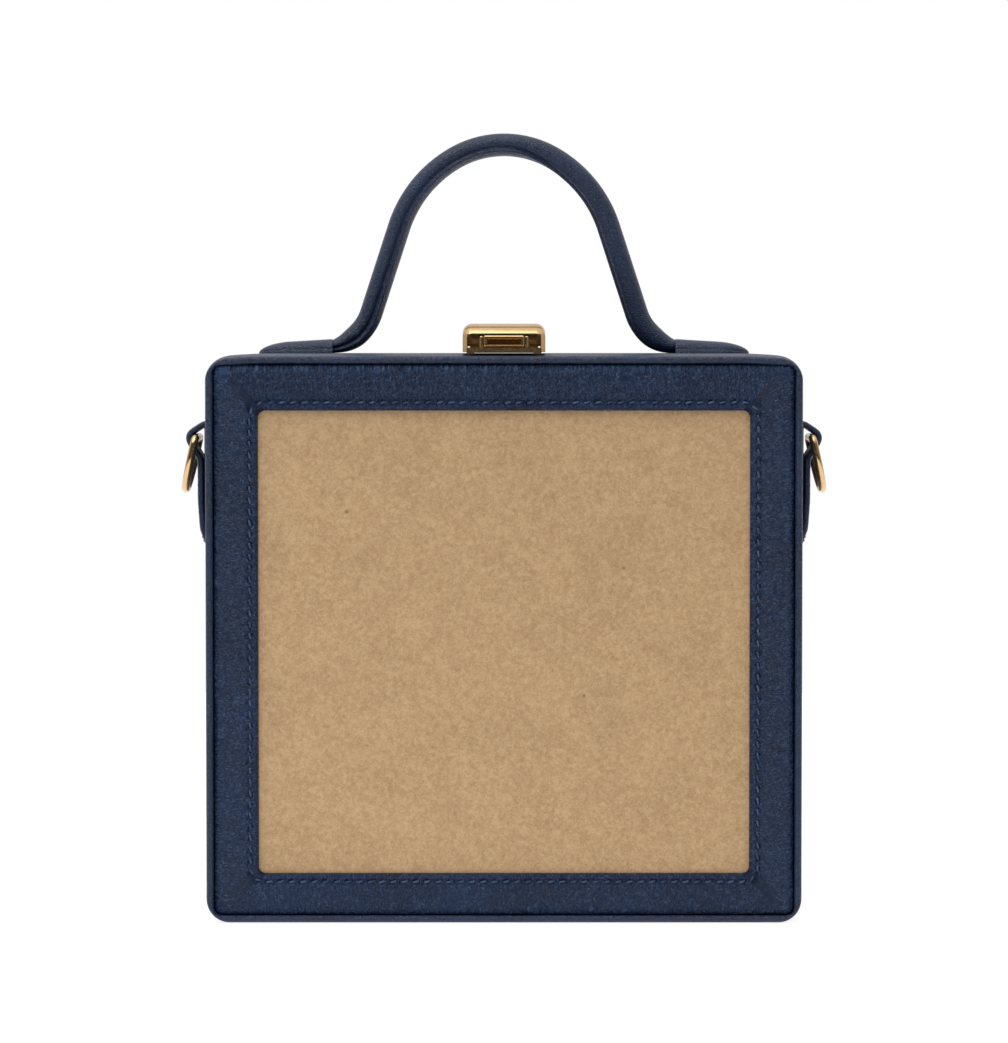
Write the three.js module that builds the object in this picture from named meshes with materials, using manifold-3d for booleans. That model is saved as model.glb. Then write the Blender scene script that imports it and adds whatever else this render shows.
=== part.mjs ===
// Box bag: a stiff square handbag with a leather frame round a pressed-fibre front panel, a rolled top handle,
// a press clasp and a D-ring on each side. Units are millimetres, +Z is up and the front faces -Y.
// The front third is a lid that swings forward on a hinge hidden along the bottom edge.
import * as THREE from "three";
import { mergeVertices } from "three/addons/utils/BufferGeometryUtils.js";
import Module from "manifold-3d";

const wasm = await Module();
wasm.setup();

// Clearances between pieces
const FIT = 0.3; // between pieces that lie against each other
const RUN = 0.3; // round a pin or bar that turns

// Body: a leather box in two sections
const BODY = {
  width: 180,
  height: 171.3, // at the front and back edges
  depth: 80,
  wall: 2.2,
  outerCorner: 7, // corner radius seen from the front
  innerCorner: 2.5, // the same, inside the wall
  crown: 0.7, // how far the top and sides swell between the edges
  crownPower: 6, // high: flat in the middle, easing down near the edges
  lip: 1.1, // radius of the rolled leather at the front and back edges
  splitRoll: 0.6, // the same at the split
  splitY: -14,
};
const LEDGE = { reach: 7, thickness: 2 }; // inner ledge that carries the front and back panels

// Front: leather frame over a fibre board
const GROOVE = 0.5; // open joint between the wall's lip and the panels
const FRAME = { thickness: 1.7, setBack: 0.3, edge: 0.6, corner: 2.2 };
const WINDOW = { side: 16, top: 16.4, bottom: 14.9, corner: 2.2 };
const BOARD = { thickness: 2.4, edge: 0.4 };
const BACK = { thickness: 3, setBack: 0.3, edge: 0.9 };

// Rolled handle: a round top, easier shoulders, and straight limbs that flare into the top of the bag
const HANDLE = {
  rise: 64.5, // top of the body to the middle of the apex
  topRadius: 30.4,
  topAngle: 30, // where the shoulders begin, from the apex
  shoulderRadius: 38.3,
  footRadius: 15.5,
  limbAngle: 18, // from the vertical
  thickness: 7, // in the plane of the curve
  width: 10.4, // front to back
  footThickness: 2.5,
  footWidth: 9,
  taperLength: 11, // over which the foot flattens
  tongue: 4, // how far the foot reaches on under its tab
  fullness: 0.8, // 1 for an ellipse, less for squarer
};

// Wedge tabs that hold the handle's feet; each starts a little before the foot lies level
const TAB = { mouth: 3, length: 23, height: 4.2, width: 15, fullness: 0.6 };
const TAB_SECTIONS = [
  { along: 0, height: 1, width: 0.96 },
  { along: 0.36, height: 0.87, width: 1 },
  { along: 0.62, height: 0.76, width: 0.98 },
  { along: 0.83, height: 0.6, width: 0.84 },
  { along: 0.95, height: 0.37, width: 0.56 },
  { along: 1, height: 0.14, width: 0.26 },
];

// D-rings and the strap loops that carry them
const RING = { wire: 1.2, width: 24, drop: 16.4, corner: 2, lean: 9.5, barZ: 145.9, barOut: 5.1 };
const STRAP = {
  width: 15.4,
  leather: 1.8,
  rise: 5.6, // from the bar up to where the strap leaves the wall
  leave: 65, // angle on the loop where the slope from the wall meets it
  upper: 4.7, // how far the front layer stands out, high and low
  lower: 4.1,
  upperZ: 126.8,
  lowerZ: 118,
  endZ: 112.2,
};

// Hinge hidden along the bottom of the split
const HINGE = { radius: 1.6, pin: 0.6, leaf: 0.8, reach: 10, length: 148, knuckles: 7, setBack: 2, clear: 0.5 };

// Clasp on the top, across the split; heights are above the top of the body
const CLASP = { centreX: 0, front: -37, barrelY: -10.6, barrelZ: 6, barrel: 2.3, pin: 0.6, blockWidth: 21 };
const BASE = {
  width: 21.6, // of the plate
  barWidth: 22.6,
  barDepth: 0.7,
  low: 0.85, // the bar's underside and top
  high: 1.9,
  roll: 0.5,
  footWidth: 2.4,
  footLow: -0.1,
};
const CHEEK = { inner: 6.4, outer: 7.3, top: 5.3, depth: 7, bevel: 0.2 };
const BUTTON = { width: 12.2, top: 5.5, depth: 6, rim: 1, recess: 1.4 };
const CAP = { width: 25, low: 0.5, ceiling: 5.9, wall: 1.4, corner: 2.8, setBack: 1, heel: 2.2 };
const CAP_SECTIONS = [
  { along: 0, inset: 1.3, top: 6.2 }, // rim of the opening
  { along: 1.5, inset: 0, top: 7.7 }, // back of the slanting face
  { along: 3.2, inset: 0, top: 8.6 },
  { along: 6, inset: 0, top: 9.1 },
];
const CAP_LIP = { inner: 7.9, low: 2.4, high: 3, front: 1.1, back: 2.4 }; // two lips that reach in at the front
const CAP_STOP = { inner: 10, front: 20.1, back: 21 }; // ribs that hide the gap beside the block

// Smoothness of the round shapes
const STEPS = { corner: 6, roll: 3, bevel: 2, crown: 8, circle: 16, arc: 9, section: 14, wire: 8 };

const halfWidth = BODY.width / 2;
const frontY = -BODY.depth / 2;
const backY = BODY.depth / 2;
const topZ = BODY.height + BODY.crown;
const rad = THREE.MathUtils.degToRad;

const LEATHER = { color: 0x25395a, roughness: 0.5, metalness: 0 };
const KRAFT = { color: 0xbd9b74, roughness: 0.85, metalness: 0 };
const GOLD = { color: 0xd9b25f, roughness: 0.22, metalness: 1 };

// Joining and cutting

function toSolid(geometry) {
  const bare = geometry.clone();
  bare.deleteAttribute("normal");
  bare.deleteAttribute("uv");
  const merged = mergeVertices(bare, 1e-4);
  const triVerts = new Uint32Array(merged.index.array);
  return new wasm.Manifold(
    new wasm.Mesh({ numProp: 3, vertProperties: merged.attributes.position.array, triVerts }),
  );
}

function toGeometry(solid) {
  const mesh = solid.getMesh();
  const geometry = new THREE.BufferGeometry();
  geometry.setAttribute("position", new THREE.BufferAttribute(mesh.vertProperties, 3));
  geometry.setIndex(new THREE.BufferAttribute(mesh.triVerts, 1));
  geometry.computeVertexNormals();
  return geometry;
}

function join(...geometries) {
  return toGeometry(geometries.map(toSolid).reduce((all, next) => all.add(next)));
}

function cut(geometry, ...tools) {
  return toGeometry(tools.map(toSolid).reduce((left, tool) => left.subtract(tool), toSolid(geometry)));
}

// Basic shapes

// A box between two corners.
function box(low, high) {
  const size = high.map((value, i) => value - low[i]);
  const middle = high.map((value, i) => (value + low[i]) / 2);
  return new THREE.BoxGeometry(...size).translate(...middle);
}

// A cylinder along X from x0 to x1.
function rod(radius, x0, x1, y, z, sides = STEPS.circle) {
  const geometry = new THREE.CylinderGeometry(radius, radius, x1 - x0, sides);
  return geometry.rotateZ(Math.PI / 2).translate((x0 + x1) / 2, y, z);
}

// A surface through equal rings of points; the ends are capped, or the last ring joins the first.
function loft(rings, closed = false) {
  const count = rings[0].length;
  const positions = rings.flat().flatMap((p) => [p.x, p.y, p.z]);
  const index = [];
  const spans = closed ? rings.length : rings.length - 1;
  for (let i = 0; i < spans; i++)
    for (let j = 0; j < count; j++) {
      const a = i * count + j;
      const b = i * count + ((j + 1) % count);
      const c = ((i + 1) % rings.length) * count + ((j + 1) % count);
      const d = ((i + 1) % rings.length) * count + j;
      index.push(a, b, c, a, c, d);
    }
  if (!closed)
    for (const [ring, turn] of [[0, 1], [rings.length - 1, -1]]) {
      const middle = rings[ring].reduce((sum, p) => sum.add(p), new THREE.Vector3()).divideScalar(count);
      const centre = positions.length / 3;
      positions.push(middle.x, middle.y, middle.z);
      for (let j = 0; j < count; j++) {
        const edge = [ring * count + ((j + 1) % count), ring * count + j];
        index.push(centre, ...(turn > 0 ? edge : edge.reverse()));
      }
    }
  const geometry = new THREE.BufferGeometry();
  geometry.setAttribute("position", new THREE.Float32BufferAttribute(positions, 3));
  geometry.setIndex(index);
  return facingOut(geometry);
}

// Turns every face round if the body is inside out.
function facingOut(geometry) {
  const p = geometry.attributes.position;
  const index = geometry.index.array;
  const [a, b, c] = [new THREE.Vector3(), new THREE.Vector3(), new THREE.Vector3()];
  let volume = 0;
  for (let i = 0; i < index.length; i += 3) {
    a.fromBufferAttribute(p, index[i]);
    b.fromBufferAttribute(p, index[i + 1]);
    c.fromBufferAttribute(p, index[i + 2]);
    volume += a.dot(b.cross(c));
  }
  if (volume < 0)
    for (let i = 0; i < index.length; i += 3)
      [index[i + 1], index[i + 2]] = [index[i + 2], index[i + 1]];
  geometry.computeVertexNormals();
  return geometry;
}

// An extrusion whose outline lies in X and Z and whose depth runs from y0 to y1, with bevelled edges.
function slab(shape, y0, y1, bevel = 0, bevelSteps = STEPS.bevel) {
  const options = { depth: y1 - y0 - 2 * bevel, curveSegments: STEPS.corner, bevelEnabled: bevel > 0 };
  if (bevel > 0) {
    options.bevelThickness = bevel;
    options.bevelSize = bevel;
    options.bevelOffset = -bevel;
    options.bevelSegments = bevelSteps;
  }
  return new THREE.ExtrudeGeometry(shape, options).rotateX(Math.PI / 2).translate(0, y1 - bevel, 0);
}

function roundedRect(path, left, right, bottom, top, radius) {
  path.moveTo(left + radius, bottom);
  path.lineTo(right - radius, bottom);
  path.absarc(right - radius, bottom + radius, radius, -Math.PI / 2, 0);
  path.lineTo(right, top - radius);
  path.absarc(right - radius, top - radius, radius, 0, Math.PI / 2);
  path.lineTo(left + radius, top);
  path.absarc(left + radius, top - radius, radius, Math.PI / 2, Math.PI);
  path.lineTo(left, bottom + radius);
  path.absarc(left + radius, bottom + radius, radius, Math.PI, 1.5 * Math.PI);
  return path;
}

// Points of a quarter or longer arc in the plane of a profile.
function arc(cx, cy, radius, from, to, steps) {
  return Array.from({ length: steps + 1 }, (_, i) => {
    const angle = rad(from + ((to - from) * i) / steps);
    return [cx + radius * Math.cos(angle), cy + radius * Math.sin(angle)];
  });
}

// The cosine or sine of an angle, squared off: a power under 1 gives fuller corners.
function full(value, power) {
  return Math.sign(value) * Math.abs(value) ** power;
}

// Body shells

// How far the wall swells at this depth; none at the edges.
function crownAt(y) {
  const share = Math.min(Math.abs(y) / (BODY.depth / 2 - BODY.lip), 1);
  return BODY.crown * (1 - share ** BODY.crownPower);
}

function cornerAt(inset) {
  const share = THREE.MathUtils.clamp(inset / BODY.wall, 0, 1);
  return THREE.MathUtils.lerp(BODY.outerCorner, BODY.innerCorner, share);
}

// The closed outline of the wall, as rows of [inset from the body's side, distance from the split,
// whether the crown lifts it]. The section runs from the split to a rolled lip, then back by the ledge.
function wallProfile(length, panelDepth) {
  const split = BODY.splitRoll;
  const lip = BODY.lip;
  const wall = BODY.wall;
  const swell = Array.from({ length: STEPS.crown + 1 }, (_, i) => {
    const along = split + ((length - lip - split) * i) / STEPS.crown;
    return { inset: 0, along, crown: true };
  });
  const plain = (points) => points.map(([inset, along]) => ({ inset, along, crown: false }));
  return [
    ...arc(split, split, split, 270, 180, STEPS.roll)
      .slice(0, -1)
      .map(([inset, along]) => ({ inset, along, crown: true })),
    ...swell,
    ...plain(arc(lip, length - lip, lip, 180, 0, 2 * STEPS.roll).slice(1)),
    ...plain([
      [wall, length - panelDepth],
      [wall + LEDGE.reach, length - panelDepth],
      [wall + LEDGE.reach, length - panelDepth - LEDGE.thickness],
      [wall, length - panelDepth - LEDGE.thickness],
      [wall, 0],
    ]),
  ];
}

// Carries the wall's outline round the rounded square. The bottom stays flat, so the crown fades there.
function shell(profile, yOf) {
  const corners = [
    { sideX: 1, sideZ: -1, from: -90 },
    { sideX: 1, sideZ: 1, from: 0 },
    { sideX: -1, sideZ: 1, from: 90 },
    { sideX: -1, sideZ: -1, from: 180 },
  ];
  const rings = corners.flatMap(({ sideX, sideZ, from }) =>
    Array.from({ length: STEPS.corner + 1 }, (_, i) => {
      const angle = rad(from + (90 * i) / STEPS.corner);
      const fade = 1 - THREE.MathUtils.smoothstep(-Math.sin(angle), 0, 1);
      return profile.map(({ inset, along, crown }) => {
        const y = yOf(along);
        const swell = crown ? crownAt(y) * fade : 0;
        const radius = cornerAt(inset);
        const reachX = halfWidth - inset - radius;
        const reachZ = BODY.height / 2 - inset - radius;
        const x = sideX * reachX + (radius + swell) * Math.cos(angle);
        const z = BODY.height / 2 + sideZ * reachZ + (radius + swell) * Math.sin(angle);
        return new THREE.Vector3(x, y, z);
      });
    }),
  );
  return loft(rings, true);
}

// Depth from the front edge to the ledge, in the lid and in the case
const lidPanelDepth = FRAME.setBack + FRAME.thickness + FIT + BOARD.thickness + FIT;
const casePanelDepth = BACK.setBack + BACK.thickness + FIT;
const lidLength = BODY.splitY - FIT / 2 - frontY;
const caseLength = backY - BODY.splitY - FIT / 2;
const hingeZ = BODY.wall + FIT + HINGE.leaf - HINGE.radius;

// The wall is set back along the bottom, on each side of the hinge's axis.
function hingeNotch() {
  const reach = halfWidth + BODY.crown + 1;
  const top = hingeZ + HINGE.radius + HINGE.clear - HINGE.leaf;
  return box([-reach, BODY.splitY - HINGE.setBack, -1], [reach, BODY.splitY + HINGE.setBack, top]);
}

function caseGusset() {
  const profile = wallProfile(caseLength, casePanelDepth);
  return cut(shell(profile, (along) => backY - caseLength + along), hingeNotch());
}

function lidGusset() {
  const profile = wallProfile(lidLength, lidPanelDepth);
  return cut(shell(profile, (along) => frontY + lidLength - along), hingeNotch());
}

// Panels

// The panels' outline, inside the wall's lip.
function panelShape() {
  const inset = BODY.wall + GROOVE;
  const side = halfWidth - inset;
  return roundedRect(new THREE.Shape(), -side, side, inset, BODY.height - inset, FRAME.corner);
}

function backPanel() {
  const outer = backY - BACK.setBack;
  return slab(panelShape(), outer - BACK.thickness, outer, BACK.edge);
}

function frontFrame() {
  const shape = panelShape();
  const side = halfWidth - WINDOW.side;
  const top = BODY.height - WINDOW.top;
  shape.holes.push(roundedRect(new THREE.Path(), -side, side, WINDOW.bottom, top, WINDOW.corner));
  const front = frontY + FRAME.setBack;
  return slab(shape, front, front + FRAME.thickness, FRAME.edge);
}

function boardPanel() {
  const front = frontY + FRAME.setBack + FRAME.thickness + FIT;
  return slab(panelShape(), front, front + BOARD.thickness, BOARD.edge, 1);
}

// Handle

// The right half of the handle's centre line, from the apex to the end of the foot.
function handleLine() {
  const apexZ = topZ + HANDLE.rise;
  const end = topZ + FIT + HANDLE.footThickness / 2;
  const turn = 90 - HANDLE.topAngle;
  const top = arc(0, apexZ - HANDLE.topRadius, HANDLE.topRadius, 90, turn, STEPS.arc);
  const ease = HANDLE.shoulderRadius - HANDLE.topRadius;
  const shoulderX = -ease * Math.cos(rad(turn));
  const shoulderZ = apexZ - HANDLE.topRadius - ease * Math.sin(rad(turn));
  const shoulder = arc(shoulderX, shoulderZ, HANDLE.shoulderRadius, turn, HANDLE.limbAngle, STEPS.arc).slice(1);
  const [x0, z0] = shoulder[shoulder.length - 1];
  const slope = rad(HANDLE.limbAngle);
  const footDrop = HANDLE.footRadius * (1 - Math.sin(slope));
  const limb = (z0 - end - footDrop) / Math.cos(slope);
  const x1 = x0 + limb * Math.sin(slope);
  const z1 = z0 - limb * Math.cos(slope);
  const cx = x1 + HANDLE.footRadius * Math.cos(slope);
  const cz = z1 + HANDLE.footRadius * Math.sin(slope);
  const foot = arc(cx, cz, HANDLE.footRadius, 180 + HANDLE.limbAngle, 270, STEPS.arc);
  return { points: [...top, ...shoulder, ...foot], foot, footX: cx, footZ: end };
}

// Sections of the handle along a line, grown by a clearance where they cut its pocket.
function gripRings(line, footX, grow = 0) {
  return line.map(([x, z], i) => {
    const ahead = line[Math.min(i + 1, line.length - 1)];
    const behind = line[Math.max(i - 1, 0)];
    const tangent = new THREE.Vector2(ahead[0] - behind[0], ahead[1] - behind[1]).normalize();
    const outward = new THREE.Vector3(-tangent.y, 0, tangent.x);
    const flat = THREE.MathUtils.smoothstep(Math.abs(x), footX - HANDLE.taperLength, footX);
    const thick = THREE.MathUtils.lerp(HANDLE.thickness, HANDLE.footThickness, flat) / 2 + grow;
    const wide = THREE.MathUtils.lerp(HANDLE.width, HANDLE.footWidth, flat) / 2 + grow;
    return Array.from({ length: STEPS.section }, (_, j) => {
      const angle = (2 * Math.PI * j) / STEPS.section;
      const across = wide * full(Math.cos(angle), HANDLE.fullness);
      const up = thick * full(Math.sin(angle), HANDLE.fullness);
      return new THREE.Vector3(x, across, z).addScaledVector(outward, up);
    });
  });
}

function handleGrip() {
  const { points, footX, footZ } = handleLine();
  const right = [...points, [footX + HANDLE.tongue, footZ]];
  const left = right.slice(1).map(([x, z]) => [-x, z]).reverse();
  return loft(gripRings([...left, ...right], footX));
}

// A domed wedge with a rounded tip and a pocket for the handle's flat foot.
function handleTab() {
  const { foot, footX, footZ } = handleLine();
  const base = topZ + FIT;
  const start = footX - TAB.mouth;
  const rings = TAB_SECTIONS.map(({ along, height, width }) => {
    const x = start + TAB.length * along;
    return Array.from({ length: STEPS.section }, (_, j) => {
      const angle = (Math.PI * j) / (STEPS.section - 1);
      const y = (TAB.width / 2) * width * full(Math.cos(angle), TAB.fullness);
      const up = TAB.height * height * Math.abs(full(Math.sin(angle), TAB.fullness));
      return new THREE.Vector3(x, y, base + up);
    });
  });
  const pocket = loft(gripRings([...foot, [footX + HANDLE.tongue + FIT, footZ]], footX, FIT));
  return cut(loft(rings), pocket);
}

// Side straps and rings

const barX = halfWidth + RING.barOut;

// Seen from the front: a strap that lies on the wall, slopes out over the ring's bar and comes back down.
function sideStrap() {
  const hole = RING.wire + RUN;
  const loop = hole + STRAP.leather;
  const wallX = halfWidth + BODY.crown + FIT;
  const shape = new THREE.Shape();
  shape.moveTo(wallX, STRAP.endZ);
  shape.lineTo(wallX, RING.barZ + STRAP.rise);
  shape.lineTo(barX + loop * Math.cos(rad(STRAP.leave)), RING.barZ + loop * Math.sin(rad(STRAP.leave)));
  shape.absarc(barX, RING.barZ, loop, rad(STRAP.leave), rad(-50), true);
  shape.lineTo(halfWidth + STRAP.upper, RING.barZ - 2 * loop);
  shape.lineTo(halfWidth + STRAP.upper, STRAP.upperZ);
  shape.lineTo(halfWidth + STRAP.lower, STRAP.lowerZ);
  shape.quadraticCurveTo(halfWidth + STRAP.lower, STRAP.endZ, wallX, STRAP.endZ);
  shape.holes.push(new THREE.Path().absarc(barX, RING.barZ, hole, 0, 2 * Math.PI));
  const strap = slab(shape, -STRAP.width / 2, STRAP.width / 2);
  return toGeometry(toSolid(strap).intersect(toSolid(strapPlan())));
}

// Seen from the side: straight edges and a round lower end.
function strapPlan() {
  const half = STRAP.width / 2;
  const top = RING.barZ + STRAP.rise + 1;
  const shape = new THREE.Shape();
  shape.moveTo(half, top);
  shape.lineTo(-half, top);
  shape.absarc(0, STRAP.endZ + half, half, Math.PI, 2 * Math.PI);
  shape.lineTo(half, top);
  const depth = RING.barOut + halfWidth;
  const geometry = new THREE.ExtrudeGeometry(shape, { depth, curveSegments: STEPS.arc, bevelEnabled: false });
  return geometry.rotateX(Math.PI / 2).rotateZ(Math.PI / 2).translate(halfWidth / 2, 0, 0);
}

// The D: a straight bar through the loop and a round bow hanging from it, leaning out.
function dRing() {
  const reach = RING.width / 2 - RING.wire;
  const bow = RING.drop - reach;
  const corner = RING.corner;
  const line = [
    ...arc(reach - corner, -corner, corner, 90, 0, STEPS.roll),
    ...arc(0, -bow, reach, 0, -180, 2 * STEPS.arc),
    ...arc(-reach + corner, -corner, corner, 180, 90, STEPS.roll),
  ];
  const lean = rad(RING.lean);
  const place = ([y, down]) =>
    new THREE.Vector3(barX - down * Math.sin(lean), y, RING.barZ + down * Math.cos(lean));
  const normal = new THREE.Vector3(Math.cos(lean), 0, Math.sin(lean));
  const points = line.map(place);
  const rings = points.map((p, i) => {
    const tangent = points[(i + 1) % points.length].clone().sub(points[(i + points.length - 1) % points.length]);
    const side = tangent.normalize().cross(normal).normalize();
    return Array.from({ length: STEPS.wire }, (_, j) => {
      const angle = (2 * Math.PI * j) / STEPS.wire;
      const out = normal.clone().multiplyScalar(RING.wire * Math.cos(angle));
      return p.clone().add(out).addScaledVector(side, RING.wire * Math.sin(angle));
    });
  });
  return loft(rings, true);
}

// Hidden hinge

// One leaf with its share of the knuckles: side is 1 for the case and -1 for the lid.
function hingeLeaf(side, first) {
  const y0 = BODY.splitY;
  const low = hingeZ + HINGE.radius - HINGE.leaf;
  const high = hingeZ + HINGE.radius;
  const pitch = HINGE.length / HINGE.knuckles;
  const start = -HINGE.length / 2;
  const across = (from, to) => [y0 + side * from, y0 + side * to].sort((a, b) => a - b);
  const [plateLow, plateHigh] = across(HINGE.radius + HINGE.clear, HINGE.reach);
  const parts = [box([start, plateLow, low], [-start, plateHigh, high])];
  const [tongueLow, tongueHigh] = across(0, HINGE.radius + HINGE.clear + FIT);
  for (let i = first; i < HINGE.knuckles; i += 2) {
    const x0 = start + i * pitch + FIT / 2;
    const x1 = start + (i + 1) * pitch - FIT / 2;
    parts.push(rod(HINGE.radius, x0, x1, y0, hingeZ));
    parts.push(box([x0, tongueLow, low], [x1, tongueHigh, high]));
  }
  const reach = HINGE.length / 2 + 1;
  return cut(join(...parts), rod(HINGE.pin + RUN, -reach, reach, y0, hingeZ));
}

function hingePin() {
  return rod(HINGE.pin, -HINGE.length / 2, HINGE.length / 2, BODY.splitY, hingeZ);
}

// Clasp

const claspBarrelZ = topZ + CLASP.barrelZ;

// Seen from the front: a low plate with rounded upper edges.
function plateShape(half, low) {
  const shape = new THREE.Shape();
  shape.moveTo(-half, low);
  shape.lineTo(half, low);
  shape.absarc(half - BASE.roll, topZ + BASE.high - BASE.roll, BASE.roll, 0, Math.PI / 2);
  shape.absarc(-half + BASE.roll, topZ + BASE.high - BASE.roll, BASE.roll, Math.PI / 2, Math.PI);
  return shape;
}

// A plate on the lid's edge with a bar on two feet along its front and a cheek on each side of the button.
function claspBase() {
  const half = BASE.barWidth / 2;
  const barBack = CLASP.front + BASE.barDepth;
  const parts = [
    slab(plateShape(half, topZ + BASE.low), CLASP.front, barBack),
    slab(plateShape(BASE.width / 2, topZ + FIT), barBack - FIT / 2, BODY.splitY - FIT),
  ];
  for (const side of [-1, 1]) {
    const [footLow, footHigh] = [side * (half - BASE.footWidth), side * half].sort((a, b) => a - b);
    const footTop = topZ + BASE.high - BASE.roll;
    parts.push(box([footLow, CLASP.front, topZ + BASE.footLow], [footHigh, barBack, footTop]));
    const cheek = roundedRect(
      new THREE.Shape(),
      Math.min(side * CHEEK.inner, side * CHEEK.outer),
      Math.max(side * CHEEK.inner, side * CHEEK.outer),
      topZ + BASE.high - CHEEK.bevel - BASE.roll,
      topZ + CHEEK.top,
      2 * CHEEK.bevel,
    );
    parts.push(slab(cheek, CLASP.front + CHEEK.bevel, CLASP.front + CHEEK.depth, CHEEK.bevel, 1));
  }
  return join(...parts);
}

// A press tab with a raised rim round a sunk face.
function claspButton() {
  const half = BUTTON.width / 2;
  const low = topZ + BASE.high + FIT;
  const high = topZ + BUTTON.top;
  const outer = roundedRect(new THREE.Shape(), -half, half, low, high, BUTTON.rim / 2);
  const bevel = BUTTON.rim / 4;
  const inner = box(
    [-half + BUTTON.rim, CLASP.front - 1, low + BUTTON.rim / 2],
    [half - BUTTON.rim, CLASP.front + BUTTON.recess, high - BUTTON.rim],
  );
  return cut(slab(outer, CLASP.front, CLASP.front + BUTTON.depth, bevel, 1), inner);
}

// A hood over the button, pivoted at the back. Its front slants in to the rim of the opening, two lips reach in
// beside the button, and its heel is cut short to clear the body as it turns.
function claspCap() {
  const half = CAP.width / 2;
  const low = topZ + CAP.low;
  const front = CLASP.front + CAP.setBack;
  const back = CLASP.barrelY + CLASP.barrel;
  const last = CAP_SECTIONS[CAP_SECTIONS.length - 1];
  const sections = [...CAP_SECTIONS, { ...last, along: back - front }];
  const rings = sections.map(({ along, inset, top }) => {
    const side = half - inset;
    const corner = CAP.corner - inset;
    const centreZ = topZ + top - corner;
    const right = arc(side - corner, centreZ, corner, 0, 90, STEPS.corner);
    const left = arc(corner - side, centreZ, corner, 90, 180, STEPS.corner);
    const outline = [[-side, low], [side, low], ...right, ...left];
    return outline.map(([x, z]) => new THREE.Vector3(x, front + along, z));
  });
  const hollow = box(
    [-half + CAP.wall, front - 1, low - 1],
    [half - CAP.wall, back + 1, topZ + CAP.ceiling],
  );
  const heel = box([-half - 1, CLASP.barrelY - CLASP.barrel, low - 1], [half + 1, back + 1, topZ + CAP.heel]);
  const bore = rod(CLASP.pin + RUN, -half - 1, half + 1, CLASP.barrelY, claspBarrelZ);
  const parts = [cut(loft(rings), hollow, heel, knuckleRoom(), bore)];
  for (const side of [-1, 1]) {
    const outer = side * (half - CAP.wall / 2);
    const [lipLow, lipHigh] = [side * CAP_LIP.inner, outer].sort((a, b) => a - b);
    parts.push(
      box([lipLow, front + CAP_LIP.front, topZ + CAP_LIP.low], [lipHigh, front + CAP_LIP.back, topZ + CAP_LIP.high]),
    );
    const [stopLow, stopHigh] = [side * CAP_STOP.inner, outer].sort((a, b) => a - b);
    const stopTop = topZ + CAP.ceiling + CAP.wall / 2;
    parts.push(box([stopLow, front + CAP_STOP.front, topZ + CAP.heel], [stopHigh, front + CAP_STOP.back, stopTop]));
  }
  return join(...parts);
}

// Space in the hood that lets it turn round the block.
function knuckleRoom() {
  const half = CLASP.blockWidth / 2 + FIT;
  const radius = CLASP.barrel + FIT;
  const round = rod(radius, -half, half, CLASP.barrelY, claspBarrelZ);
  const behind = box(
    [-half, CLASP.barrelY, topZ - 1],
    [half, CLASP.barrelY + radius + 1, claspBarrelZ + 2 * radius],
  );
  return join(round, behind);
}

// The standing block on the case that carries the hood's pin.
function claspBlock() {
  const half = CLASP.blockWidth / 2;
  const front = BODY.splitY + FIT;
  const back = CLASP.barrelY + CLASP.barrel;
  const stem = box([-half, Math.max(front, CLASP.barrelY - CLASP.barrel), topZ + FIT], [half, back, claspBarrelZ]);
  const barrel = rod(CLASP.barrel, -half, half, CLASP.barrelY, claspBarrelZ);
  const pin = rod(CLASP.pin, -CAP.width / 2, CAP.width / 2, CLASP.barrelY, claspBarrelZ);
  return join(stem, barrel, pin);
}

// Assembly

const bag = new THREE.Group();

function piece(name, geometry, finish) {
  const mesh = new THREE.Mesh(geometry, new THREE.MeshStandardMaterial(finish));
  mesh.name = name;
  return mesh;
}

bag.add(piece("case_gusset", caseGusset(), LEATHER));
bag.add(piece("back_panel", backPanel(), LEATHER));
bag.add(piece("lid_gusset", lidGusset(), LEATHER));
bag.add(piece("front_frame", frontFrame(), LEATHER));
bag.add(piece("board_panel", boardPanel(), KRAFT));
bag.add(piece("handle_grip", handleGrip(), LEATHER));
bag.add(piece("case_hinge_leaf", hingeLeaf(1, 0), GOLD));
bag.add(piece("lid_hinge_leaf", hingeLeaf(-1, 1), GOLD));
bag.add(piece("hinge_pin", hingePin(), GOLD));

// Each side has a handle tab, a strap and a ring, mirrored by a half turn about the vertical.
for (const [side, turn] of [["right", 0], ["left", Math.PI]]) {
  const half = new THREE.Group();
  half.rotation.z = turn;
  half.add(piece(`handle_tab_${side}`, handleTab(), LEATHER));
  half.add(piece(`side_strap_${side}`, sideStrap(), LEATHER));
  half.add(piece(`d_ring_${side}`, dRing(), GOLD));
  bag.add(half);
}

const clasp = new THREE.Group();
clasp.position.x = CLASP.centreX;
clasp.add(piece("clasp_base", claspBase(), GOLD));
clasp.add(piece("clasp_button", claspButton(), GOLD));
clasp.add(piece("clasp_cap", claspCap(), GOLD));
clasp.add(piece("clasp_block", claspBlock(), GOLD));
bag.add(clasp);

export default bag;
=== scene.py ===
"""A stiff square box bag in navy leather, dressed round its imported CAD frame.

The walls, frame, handle, tabs, straps, rings and stitches are numpy surfaces that stand for the plain CAD
nodes. The clasp is a bevelled copy of its nodes, and the board and the hinge keep theirs.
"""
import math

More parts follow.
